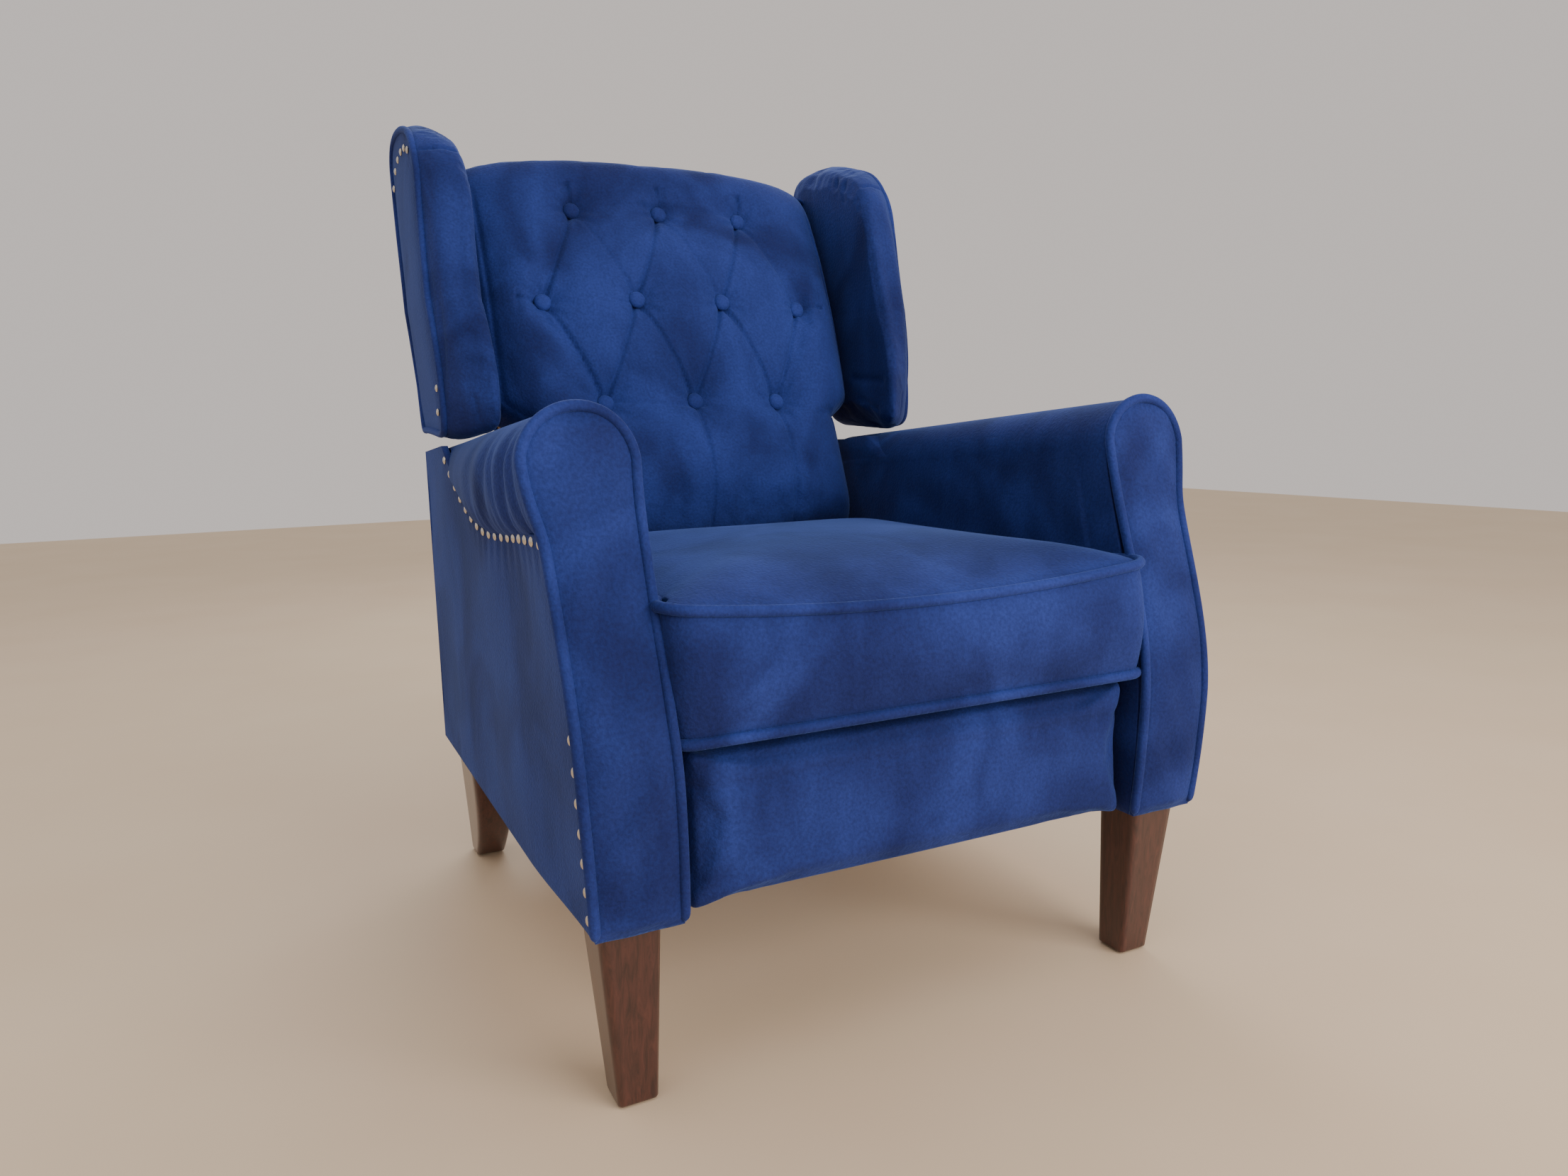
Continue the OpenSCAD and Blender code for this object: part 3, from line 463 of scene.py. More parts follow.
def addStudio():
    world = bpy.data.worlds.new("studio")
    bpy.context.scene.world = world
    world.use_nodes = True
    back = world.node_tree.nodes["Background"]
    back.inputs["Color"].default_value = srgb("#efe6e1")
    back.inputs["Strength"].default_value = 0.80
    addSoftbox("skylight", (-0.5, -1.2, 2.8), (0, 0, 0.5), (2.6, 1.8), 15, "#f8f6ff")
    addSoftbox("fill", (1.1, -2.8, 1.3), (0, 0, 0.5), (2.2, 1.8), 78, "#fff6f2")
    addSoftbox("behind", (0.6, 2.0, 2.2), (0, 0.2, 0.7), (2.0, 1.2), 24, "#f4f6ff")
    corner = 6.0
    floorPoints = np.array([[-corner, -corner, 0], [corner, -corner, 0], [corner, corner, 0],
                            [-corner, corner, 0]])
    floorMaterial, tree, shader, place = newMaterial("paleFloor", {"Roughness": 0.6})
    tone = addNoise(tree, place, 1 / 3, 3.0)
    tree.links.new(mixColours(tree, tone, srgb("#dcc4a4"), srgb("#e4cfb2")), shader.inputs["Base Color"])
    floor = meshPiece("floor", floorPoints, [np.array([[0, 1, 2, 3]])], floorMaterial)


addCamera()
addStudio()
print("studio ready")


arm = {
    "innerX": 0.250, "outerX": 0.338, "boardX": 0.262, "coverT": 0.008,
    "rollX": 0.309, "rollR": 0.0485, "topZ": 0.612, "fall": 0.046,
    "frontY": -0.410, "backY": 0.290, "skirtZ": 0.176, "liningZ": 0.335, "dropY": -0.301,
    "belly": 0.008, "bellyZ": 0.300, "rake": 0.062, "facingT": 0.008,
    "nailZ": 0.494, "nailRiseFrom": -0.100, "nailRiseTo": 0.150,
    "bedZ": 0.5433, "piping": 0.0050, "nailLift": 0.013,
}
arm["rollZ"] = arm["topZ"] - arm["rollR"]
arm["rollFront"] = arm["frontY"] + arm["rake"]


def faceY(z):
    # The arm's front face: a parabola down to the skirt, a smooth lean back to the roll
    low = -arm["belly"] * (1 - (1 - (z - arm["skirtZ"]) / (arm["bellyZ"] - arm["skirtZ"])) ** 2)
    high = (-arm["belly"]
            + (arm["belly"] + arm["rake"]) * smooth((z - arm["bellyZ"]) / (arm["topZ"] - arm["bellyZ"])))
    return arm["frontY"] + np.where(z < arm["bellyZ"], low, high)


def fallAt(y):
    # How far the arm's top has dropped at y
    return arm["fall"] * (y - arm["rollFront"]) / (arm["backY"] - arm["rollFront"])


def nailLine(y):
    # Level under the roll, then rising to the arm's top towards the rear
    rise = np.clip((y - arm["nailRiseFrom"]) / (arm["nailRiseTo"] - arm["nailRiseFrom"]), 0, 1) ** 1.8
    ahead = smooth((arm["nailRiseFrom"] - y) / 0.25)
    return (arm["nailZ"] + arm["nailLift"] * ahead
            + (arm["topZ"] - fallAt(arm["nailRiseTo"]) - arm["nailZ"]) * rise)


faceInner = {"z": [0.176, 0.236, 0.300, 0.369, 0.415, 0.457, 0.507, 0.542, 0.5635],
             "x": [0.2530, 0.2545, 0.2565, 0.2600, 0.2615, 0.2619, 0.2619, 0.2617, 0.2607]}
faceOuter = {"z": [0.176, 0.300, 0.400, 0.470, 0.507, 0.535, 0.5635],
             "x": [0.3312, 0.3385, 0.3415, 0.3437, 0.3455, 0.3535, 0.3575]}


def softStep(z, table):
    # A smooth line through a few heights
    fine = np.linspace(table["z"][0], table["z"][-1], 60)
    values = np.interp(fine, table["z"], table["x"])
    kernel = np.hanning(9) / np.hanning(9).sum()
    values = np.convolve(np.pad(values, 4, "edge"), kernel, "valid")
    return np.interp(z, fine, values)


def faceEdges(z):
    # Inner and outer edge of the front panel: straight-sided below, a circle over the roll
    above = np.sqrt(np.clip(1 - ((z - arm["rollZ"]) / arm["rollR"]) ** 2, 0, 1)) * arm["rollR"]
    inner = np.where(z > arm["rollZ"], arm["rollX"] - above, softStep(z, faceInner))
    outer = np.where(z > arm["rollZ"], arm["rollX"] + above, softStep(z, faceOuter))
    return inner, outer


def makeFacing(name):
    # A padded panel: between its edges it stands proud by puff (1 - (2u-1)^4), and it is facingT thick
    rows = np.concatenate([np.linspace(arm["skirtZ"], arm["rollZ"], 130, endpoint=False),
                           arm["rollZ"] + arm["rollR"] * np.sin(np.linspace(0, np.pi / 2 - 0.02, 60))])
    inner, outer = faceEdges(rows)
    across = 0.5 - 0.5 * np.cos(np.linspace(0, np.pi, 40))
    x = inner[:, None] + (outer - inner)[:, None] * across
    z = np.repeat(rows[:, None], 40, 1)
    hem = smooth((z - arm["skirtZ"]) / 0.012)
    crown = smooth((arm["topZ"] - z) / 0.02)
    puff = 0.0065 * (1 - np.abs(2 * across - 1) ** 3.2) * hem * crown
    dimple = 0.0016 * np.sin(z * 61 + x * 40) * np.sin(x * 90 + z * 17) * (1 - np.abs(2 * across - 1) ** 2)
    front = np.stack([x, faceY(z) - puff - dimple + 0.001, z], -1)
    back = np.stack([x, faceY(z) + arm["facingT"], z], -1)[:, ::-1]
    return loopPiece(name, np.concatenate([front, back], 1), velvetCloth)


def facingPipingPath():
    # Up the inner edge, over the roll and down the outer edge
    low = np.linspace(arm["skirtZ"] + 0.002, arm["rollZ"], 70)
    inner, outer = faceEdges(low)
    turn = np.linspace(np.pi, 0, 50)[1:-1]
    arcX, arcZ = arm["rollX"] + arm["rollR"] * np.cos(turn), arm["rollZ"] + arm["rollR"] * np.sin(turn)
    x = np.concatenate([inner, arcX, outer[::-1]])
    z = np.concatenate([low, arcZ, low[::-1]])
    return evenly(np.stack([x, faceY(z) + 0.001, z], 1), 260)


def armRadius(y):
    # The roll's outward reach narrows as the nail line climbs
    rise = smooth((y - arm["nailRiseFrom"] + 0.06) / (arm["nailRiseTo"] - arm["nailRiseFrom"] + 0.06))
    return arm["rollR"] * (1 - rise) + (arm["outerX"] + 0.0015 - arm["rollX"]) * rise


def armSection(y):
    # One closed outline at each y: lining, over the roll, tucked in to the nail line, back along the bed
    rollZ, topZ = arm["rollZ"] - fallAt(y), arm["topZ"] - fallAt(y)
    nail = np.minimum(nailLine(y), topZ - 0.003) - 0.004
    reach = armRadius(y)
    up = np.linspace(0, 1, 60)[:, None]
    hem = arm["liningZ"] + (arm["skirtZ"] - arm["liningZ"]) * smooth((arm["dropY"] - y) / 0.006)
    liningX = (arm["innerX"] + 0.0030 * (hem < 0.3) + (0.0105 - 0.0030 * (hem < 0.3)) * up ** 1.6
               - 0.0012 * np.sin(np.pi * np.clip(up * 1.6 - 0.6, 0, 1)) ** 2 + 0 * y)
    liningZ = hem + (rollZ - hem) * up
    turn = np.linspace(np.pi, np.pi / 2, 40)[1:, None]
    overX, overZ = arm["rollX"] + arm["rollR"] * np.cos(turn) + 0 * y, rollZ + arm["rollR"] * np.sin(turn)
    drop = np.linspace(0, 1, 90)[1:, None]
    outZ = nail + (topZ - nail) * (0.5 + 0.5 * np.cos(np.pi * drop ** 0.9))
    aboveX = arm["rollX"] + reach * np.sqrt(np.clip(1 - ((outZ - rollZ) / arm["rollR"]) ** 2, 0, 1))
    under = np.clip((rollZ - outZ) / np.maximum(rollZ - nail, 1e-4), 0, 1)
    neck = arm["outerX"] - 0.001
    belowX = neck + (arm["rollX"] + reach - neck) * (1 - under ** 2.4) ** 0.6
    outX = np.where(outZ >= rollZ, aboveX, belowX)
    bed = np.maximum(arm["bedZ"] - fallAt(y) + 0.0005, nail + 0.001)
    core = arm["outerX"] - arm["coverT"] - 0.002
    back = np.linspace(0, 1, 12)[:, None]
    bedX = core + (arm["boardX"] - 0.0004 - core) * back + 0 * y
    bedZ = bed + 0 * back
    down = np.linspace(0, 1, 12)[1:, None]
    downX = arm["boardX"] - 0.0004 + 0 * down + 0 * y
    downZ = bed + (hem - bed) * down
    x = np.concatenate([liningX, overX, outX, bedX, downX])
    z = np.concatenate([liningZ, overZ, outZ, bedZ, downZ])
    return x.T, z.T


armFolds = [   # y, lean, width, depth of the gathers on the roll's outer side
    (-0.309, -0.010, 0.0085, 0.0030), (-0.274, 0.016, 0.0120, 0.0042), (-0.228, -0.006, 0.0095, 0.0020),
    (-0.186, 0.022, 0.0150, 0.0030), (-0.110, 0.014, 0.0220, 0.0018),
]


def makeArmPad(name):
    # Sections carried from the facing to the rear, the front ones following the facing's curve
    station = np.concatenate([np.linspace(0, 0.6, 190, endpoint=False), np.linspace(0.6, 1, 60)])
    rear = arm["backY"] - arm["coverT"] - 0.0004
    y = arm["rollFront"] + station * (rear - arm["rollFront"])
    x, z = armSection(y)
    front = faceY(np.clip(z, arm["skirtZ"], arm["topZ"])) + arm["facingT"] + 0.0003
    y = front + station[:, None] * (rear - front)
    outward = smooth((x - arm["rollX"] - 0.004) / 0.035)
    height = z + fallAt(y) - arm["rollZ"]
    sink = np.zeros_like(x)
    for at, lean, width, depth in armFolds:
        line = at - lean * height / arm["rollR"]
        sink += depth * bell(y - line, width) - 0.45 * depth * bell(y - line - 1.9 * width, 1.2 * width)
    sink *= outward * smooth((0.062 - height) / 0.05)
    low = bell(z - nailLine(y) - 0.010, 0.016) * smooth((0.02 - y) / 0.2)
    sink += outward * low * (0.0004 * np.sin(y * 310 + 2 * np.sin(y * 37)) + 0.0003 * np.sin(y * 173 + 1))
    x = x - sink
    ends = smooth((y - rear + 0.02) / 0.02) * (x > arm["boardX"])
    z = z - 0.004 * ends * smooth((z - arm["rollZ"] + fallAt(y)) / 0.03)
    return loopPiece(name, np.stack([x, y, z], -1), velvetCloth)


def sideX(y, z):
    # The outer side: the panel's edge at the front, flat further back
    _, edge = faceEdges(np.clip(z, arm["skirtZ"], 0.505))
    back = smooth((y - faceY(z)) / 0.20)
    return edge + (arm["outerX"] - edge) * back


def makeSideCover(name):
    # A thin wall along the side and round the rear corner: bottom at the skirt, top at the nail line
    rear, radius = arm["backY"], 0.012
    flat = np.linspace(0, 1, 230)
    turn = np.linspace(0, np.pi / 2, 12)[1:]
    wrap = np.linspace(0, 1, 14)[1:]
    rows = np.linspace(0, 1, 110)
    grids = []
    for layer in (0.0, arm["coverT"] - 0.0006):
        run = flat[:, None]
        yTop = arm["rollFront"] + run * (rear - radius - arm["rollFront"])
        zTop = np.minimum(nailLine(yTop), arm["topZ"] - fallAt(yTop) - 0.003)
        z = arm["skirtZ"] + (zTop - arm["skirtZ"]) * rows
        front = faceY(z) + arm["facingT"] + 0.0002
        y = front + run * (rear - radius - front)
        x = sideX(y, z) - layer
        x = np.maximum(x, arm["outerX"] - arm["coverT"] + 0.0001) if layer else x
        below = zTop - z
        pucker = 0.0006 * np.cos(2 * np.pi * (y - 0.126) / 0.030) * bell(below - 0.012,
                                                                         0.022) * smooth((0.06 - y) / 0.2)
        sway = (0.0016 * np.sin(y * 23 + z * 9) * np.sin(z * 14 + 1)
                * smooth((z - arm["skirtZ"]) / 0.06) * smooth(below / 0.05))
        x = x + (pucker + sway) * (1 if layer == 0 else 0)
        cornerY = rear - radius + (radius - layer) * np.sin(turn)[:, None] + 0 * rows
        cornerX = arm["outerX"] - radius + (radius - layer) * np.cos(turn)[:, None] + 0 * rows
        cornerZ = np.repeat(z[-1:], len(turn), 0)
        wrapX = arm["outerX"] - radius + (arm["boardX"] - arm["outerX"] + radius) * wrap[:, None] + 0 * rows
        wrapY = rear - layer + 0 * wrapX
        wrapZ = np.repeat(z[-1:], len(wrap), 0)
        grids.append(np.concatenate([np.stack([x, y, z], -1), np.stack([cornerX, cornerY, cornerZ], -1),
                                     np.stack([wrapX, wrapY, wrapZ], -1)]))
    return loopPiece(name, np.concatenate([grids[0], grids[1][:, ::-1]], 1), velvetCloth)


nails = {"radius": 0.0047, "height": 0.0028, "armFrom": 0.126, "armPitch": 0.030, "armCount": 17,
         "postFrom": 0.1915, "postPitch": 0.0260, "postCount": 7,
         "wingFoot": [(0.1700, 0.643), (0.1750, 0.614)],
         "wingHead": [(0.250, 0.938), (0.277, 0.946), (0.306, 0.9475), (0.336, 0.944), (0.364, 0.935),
                      (0.386, 0.917)]}


def nailDomes(name, places, outward):
    # Domes turned out of a low profile: a rolled edge, then a circle's cap
    turn = np.linspace(0, 2 * np.pi, 18, endpoint=False)
    rise = np.linspace(0, np.pi / 2, 6)
    radial = np.concatenate([[0.93], np.cos(rise)]) * nails["radius"]
    lift = np.concatenate([[0.0], 0.16 + 0.84 * np.sin(rise)]) * nails["height"]
    radial[-1] = 0.0002
    outward = np.array(outward, float) / np.linalg.norm(outward)
    side = np.cross(outward, [0, 0, 1.0])
    up = np.cross(side, outward)
    dome = (radial[:, None, None] * (np.cos(turn)[None, :, None] * side + np.sin(turn)[None, :, None] * up)
            + lift[:, None, None] * outward)
    rows, cols = dome.shape[:2]
    points = (np.asarray(places)[:, None, None] + dome[None]).reshape(-1, 3)
    faceSets = []
    for k in range(len(places)):
        first = k * rows * cols
        faceSets += [gridFaces(rows, cols, True, first), first + np.arange(cols)[None],
                     first + (rows - 1) * cols + np.arange(cols)[None]]
    return meshPiece(name, points, faceSets, nailMetal)


def armNailPlaces():
    y = nails["armFrom"] - nails["armPitch"] * np.arange(nails["armCount"])
    z = nailLine(y) - 0.006
    along = np.stack([sideX(y, z) + 0.0002, y, z], 1)
    z = nails["postFrom"] + nails["postPitch"] * np.arange(nails["postCount"])
    y = faceY(z) + arm["facingT"] + 0.0075
    return np.concatenate([along, np.stack([sideX(y, z) + 0.0002, y, z], 1)])


for side, mirrored in (("left", False), ("right", True)):
    facing, pad, cover = (makeFacing(side + "FacingPanel"), makeArmPad(side + "ArmUpholstery"),
                          makeSideCover(side + "SidePanel"))
    piping = tube(side + "FacingPiping", facingPipingPath(), arm["piping"], (0, -1, 0), pipingVelvetWithPaintedHighlight)
    for piece in (facing, pad, cover, piping):
        if mirrored:
            setPoints(piece, getPoints(piece) * [-1, 1, 1])
            piece.data.flip_normals()
        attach(piece, "base")
    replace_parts(facing, side + "_front_facing")
    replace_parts(pad, side + "_arm_pad")
    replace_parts(cover, side + "_side_cover")
places = armNailPlaces()
armNails = joined("armNails",
                  [nailDomes("armNailsLeft", places, (1, 0, 0)),
                   nailDomes("armNailsRight", places * [-1, 1, 1], (-1, 0, 0))], nailMetal)
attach(armNails, "base")
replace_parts(armNails, "arm_nailheads")
print("arms made")


def makeBasePanel():
    # A flat stretched panel, crowned outwards by a few millimetres between its edges
    u, v = np.meshgrid(np.linspace(-1, 1, 90), np.linspace(0, 1, 40))
    x = u * (arm["boardX"] - 0.0006)
    z = arm["skirtZ"] + v * 0.160
    y = arm["backY"] + 0.0025 * (1 - u ** 8) * (1 - np.abs(2 * v - 1) ** 4)
    outer = np.stack([x, y, z], -1)
    inner = np.stack([x, 0 * y + arm["backY"] - arm["coverT"], z], -1)
    return loopPiece("basePanel", np.concatenate([outer, inner[:, ::-1]], 1), velvetCloth)


basePanel = makeBasePanel()
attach(basePanel, "base")
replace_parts(basePanel, "base_back_cover")


legs = {"topHalf": 0.028, "footHalf": 0.0185, "x": 0.297, "footX": 0.2905, "glide": 0.002,
        "frontY": -0.368, "frontFootY": -0.3595, "rearTop": (0.168, 0.264), "rearFoot": (0.2590, 0.2960)}


def roundedSquare(count=48, corner=0.12):
    # A unit square with small rounded corners, walked once round
    turn = np.linspace(0, 2 * np.pi, count, endpoint=False) + np.pi / count
    power = 2 / corner
    radius = (np.abs(np.cos(turn)) ** power + np.abs(np.sin(turn)) ** power) ** (-1 / power)
    return radius * np.cos(turn), radius * np.sin(turn)


def makeLeg(name, rear, side):
    # Rounded squares stacked from foot to top; the rear leg's front edge sweeps back with t to the 2.2
    t = np.concatenate([[0, 0.006, 0.014], np.linspace(0.03, 1, 26)])
    z = legs["glide"] + (arm["skirtZ"] - legs["glide"]) * t
    ease = np.concatenate([[0.94, 0.985, 1.0], np.ones(26)])
    halfX = (legs["footHalf"] + (legs["topHalf"] - legs["footHalf"]) * t) * ease
    middleX = legs["footX"] + (legs["x"] - legs["footX"]) * t
    if rear:
        down = 1 - t
        low = legs["rearTop"][0] + (legs["rearFoot"][0] - legs["rearTop"][0]) * down ** 2.2
        high = legs["rearTop"][1] + (legs["rearFoot"][1] - legs["rearTop"][1]) * down
        middleY, halfY = (low + high) / 2, (high - low) / 2 * ease
    else:
        middleY = legs["frontFootY"] + (legs["frontY"] - legs["frontFootY"]) * t
        halfY = halfX
    u, v = roundedSquare()
    grid = np.stack([side * (middleX[:, None] + halfX[:, None] * u), middleY[:, None] + halfY[:, None] * v,
                     np.repeat(z[:, None], len(u), 1)], -1)
    leg = loopPiece(name, grid, mahogany)
    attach(leg, "base")
    return leg


for side, sign in (("left", 1), ("right", -1)):
    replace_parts(makeLeg(side + "FrontLeg", False, sign), side + "_front_leg")
    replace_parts(makeLeg(side + "RearLeg", True, sign), side + "_rear_leg")
print("legs made")


seat = {
    "half": 0.246, "earHalf": 0.2600, "earY": -0.388, "frontY": -0.414, "backY": 0.074,
    "bottomZ": 0.331, "edgeZ": 0.4475, "sag": 0.015, "crown": 0.027, "corner": 0.026,
    "voxel": 0.0058, "pressure": 5.0, "reach": 0.024, "piping": 0.0052,
}


def seatOutline(count):
    # A rounded rectangle that widens into ears in front of the arms
    width, front, back, corner = seat["half"], seat["frontY"], seat["backY"], seat["corner"]
    ear = seat["earHalf"]
    turn = np.linspace(0, np.pi / 2, 12)
    frontCorner = np.stack([ear - corner + corner * np.sin(turn), front + corner - corner * np.cos(turn)],
                           1)
    rearCorner = np.stack([width - 0.02 + 0.02 * np.cos(turn), back - 0.02 + 0.02 * np.sin(turn)], 1)
    neck = np.array([[ear - 0.002, seat["earY"] + 0.012], [width, seat["earY"] + 0.030]])
    half = np.concatenate([[[0, front]], frontCorner, neck, rearCorner, [[0, back]]])
    whole = np.concatenate([half, half[1:-1][::-1] * [-1, 1]])
    return evenly(roundOff(whole, 1), count, closed=True)


def seatEdgeZ(x, y):
    # The top seam dips between the corners along the front, and runs level along the sides
    near = smooth((-0.30 - y) / 0.10)
    return seat["edgeZ"] - seat["sag"] * (1 - (x / seat["earHalf"]) ** 2) * near - 0.001 * (1 - near)


def makeSeatForm():
    # Loops shrinking to the middle below, up the boxing, and over the crown above
    outline = seatOutline(420)
    middle = np.array([0, (seat["frontY"] + seat["backY"]) / 2])
    edge = seatEdgeZ(outline[:, 0], outline[:, 1])
    rows = []
    for share in np.linspace(0.04, 0.97, 16):
        rows.append(np.column_stack([middle + (outline - middle) * share,
                                     np.full(len(outline), seat["bottomZ"])]))
    ahead = smooth((-outline[:, 1] - 0.36) / 0.04)
    for up in np.linspace(0, 1, 24):
        bulge = 0.010 * np.sin(np.pi * up) * ahead
        flat = outline + np.column_stack([0 * bulge, -bulge])
        rows.append(np.column_stack([flat, seat["bottomZ"] + (edge - seat["bottomZ"]) * up]))
    for share in np.linspace(0.985, 0.04, 26):
        lift = seat["crown"] * (1 - share ** 3.4) ** 0.9 + (seat["edgeZ"] - edge) * (1 - share) ** 0.5
        rows.append(np.column_stack([middle + (outline - middle) * share, edge + lift]))
    return loopPiece("seatCushion", np.array(rows), velvetCloth)


def seamLoop(z=None, out=0.0, count=300):
    outline = seatOutline(count)
    middle = np.array([0, (seat["frontY"] + seat["backY"]) / 2])
    height = seatEdgeZ(outline[:, 0], outline[:, 1]) if z is None else np.full(count, z)
    away = (outline - middle) / np.linalg.norm(outline - middle, axis=1)[:, None]
    return np.column_stack([outline + away * out, height])


seatCushion = makeSeatForm()
topSeam, bottomSeam = seamLoop(), seamLoop(seat["bottomZ"] + 0.001)
swell(seatCushion, seat["voxel"], seat["pressure"], seat["reach"], np.concatenate([topSeam, bottomSeam]),
      hold=0.007)


def settleSeat(piece):
    # Flat underneath on the springs, pressed flat at the sides by the arms
    points = getPoints(piece)
    low = seat["bottomZ"] - 0.001
    points[:, 2] = np.where(points[:, 2] < low, low + 0.1 * (points[:, 2] - low), points[:, 2])
    limit = (seat["half"] + 0.0022
             + (seat["earHalf"] - seat["half"] + 0.004) * smooth((seat["earY"] + 0.004 - points[:, 1]) / 0.012))
    points[:, 0] = np.sign(points[:, 0]) * np.minimum(np.abs(points[:, 0]), limit)
    points[:, 1] = np.minimum(points[:, 1], seat["backY"] + 0.003)
    setPoints(piece, points)


settleSeat(seatCushion)
seatPipes = joined("seatPiping", [
    tube("seatTopPiping", seamLoop(out=0.0012), seat["piping"], (0, 0, 1), pipingVelvetWithPaintedHighlight, closed=True),
    tube("seatBottomPiping", seamLoop(seat["bottomZ"] + 0.0015, 0.0012), seat["piping"], (0, 0, 1),
         pipingVelvetWithPaintedHighlight, closed=True)], pipingVelvetWithPaintedHighlight)
for piece in (seatCushion, seatPipes):
    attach(piece, "seat")
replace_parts(seatCushion, "seat_cushion")
print("seat made")


back = {
    "originY": 0.211, "originZ": 0.360, "tilt": 19.6, "length": 0.612,
    "lowHalf": 0.241, "highHalf": 0.277, "stepFrom": 0.205, "stepTo": 0.250,
    "bedT": 0.036, "footV": 0.046, "crown": 0.022, "crownMore": 0.014, "panelTop": 0.6025,
    "dimple": (0.0070, 0.0135), "hollow": (0.0070, 0.038), "ray": (0.0011, 0.026, 0.013),
    "crease": (0.0074, 0.0028), "valley": (0.0036, 0.016), "sideSeam": (0.0034, 0.0030, 0.026),
    "thickV": [0.046, 0.100, 0.232, 0.373, 0.517, 0.600],
    "thickT": [0.148, 0.152, 0.148, 0.160, 0.126, 0.112],
    "buttonPitch": 0.124, "buttonRise": 0.143, "buttonDrop": 0.095, "buttonR": 0.0115,
    "voxel": 0.0052, "pressure": 4.5, "reach": 0.020,
}
tilt = math.radians(back["tilt"])
upBack = np.array([0, math.sin(tilt), math.cos(tilt)])
outBack = np.array([0, -math.cos(tilt), math.sin(tilt)])
backOrigin = np.array([0, back["originY"], back["originZ"]])


def onBack(x, t, v):
    # x across, t out of the back towards the sitter, v up the back
    x, t, v = np.broadcast_arrays(x, t, v)
    return backOrigin + np.stack([x, 0 * x, 0 * x], -1) + t[..., None] * outBack + v[..., None] * upBack


def backFront(v):
    # Thickness of the back up its height
    fine = np.linspace(0, 0.65, 131)
    values = np.convolve(np.pad(np.interp(fine, back["thickV"], back["thickT"]), 12, "edge"),
                         np.hanning(25) / np.hanning(25).sum(), "valid")
    return np.interp(v, fine, values)


def backCrown(x, v):
    # The front falls away to the sides, most across the lumbar swell
    return (back["crown"] + back["crownMore"] * bell(v - 0.38, 0.09)) * (x / back["highHalf"]) ** 2


def backHalf(v):
    return (back["lowHalf"]
            + (back["highHalf"] - back["lowHalf"]) * smooth((v - back["stepFrom"]) / (back["stepTo"] - back["stepFrom"])))


def topDip(x):
    # The top edge falls away towards the wings
    return 0.017 * np.abs(x / back["highHalf"]) ** 3


def makeBackForm():
    # Loops across the back: a crowned front with round edges, a flat rear; rounded over at foot and top
    rows = []
    turn = np.linspace(0, np.pi / 2, 10)
    height = np.concatenate([back["footV"] + 0.045 * (1 - np.cos(turn)),
                             np.linspace(0.095, back["length"] - 0.066, 80)[1:],
                             back["length"] - 0.058 + 0.061 * np.sin(turn)])
    reach = np.concatenate([0.35 + 0.65 * np.sin(turn), np.ones(79),
                            np.maximum(np.cos(turn), 0.05) ** 0.55])
    around = np.linspace(0, 1, 90)
    for v, share in zip(height, reach):
        half, thick = backHalf(v), (backFront(v) - back["bedT"]) * share
        u = -1 + 2 * around
        edge = (1 - np.abs(u) ** 7) ** 0.30
        x = half * np.sign(u) * np.abs(u) ** 0.92
        front = back["bedT"] + thick * edge - backCrown(x, v) * share
        drop = topDip(x) * smooth((v - 0.40) / 0.2)
        frontRow = onBack(x, np.maximum(front, back["bedT"] + 0.002), v - drop)
        rearRow = onBack(x[::-1], np.full(90, back["bedT"]), v - drop[::-1])
        rows.append(np.concatenate([frontRow, rearRow]))
    return loopPiece("backCushion", np.array(rows), velvetCloth)


def buttonSpots():
    # Rows of three, four and three, each row half a pitch over
    spots = []
    for row in range(3):
        count = 3 + row % 2
        for k in range(count):
            spots.append(((k - (count - 1) / 2) * back["buttonPitch"],
                          back["length"] - back["buttonDrop"] - row * back["buttonRise"]))
    return np.array(spots)


def toBack(points):
    # World points as x, t and v of the back
    away = points - backOrigin
    return points[:, 0], away @ outBack, away @ upBack


def pleatLines(spots):
    # Diamonds between the rows, short ends above and beside, and long seams down to the seat
    top, middle, bottom = spots[:3], spots[3:7], spots[7:]
    lines = []
    for k in range(3):
        lines.append((top[k], middle[k], 1.0))
        lines.append((top[k], middle[k + 1], 0.35))
        lines.append((bottom[k], middle[k], 1.0))
        lines.append((bottom[k], middle[k + 1], 1.0))
        lines.append((top[k], top[k] + [0.004 * (k - 1), 0.040], 0.8))
        lines.append((bottom[k], bottom[k] - [0, 0.200], 0.75))
    lines.append((middle[0], middle[0] - [0.038, -0.004], 0.8))
    lines.append((middle[3], middle[3] + [0.045, 0.004], 1.0))
    return lines


def furrow(kind, away):
    # Depth of a named dip at a distance from its middle
    return back[kind][0] * bell(away, back[kind][1])


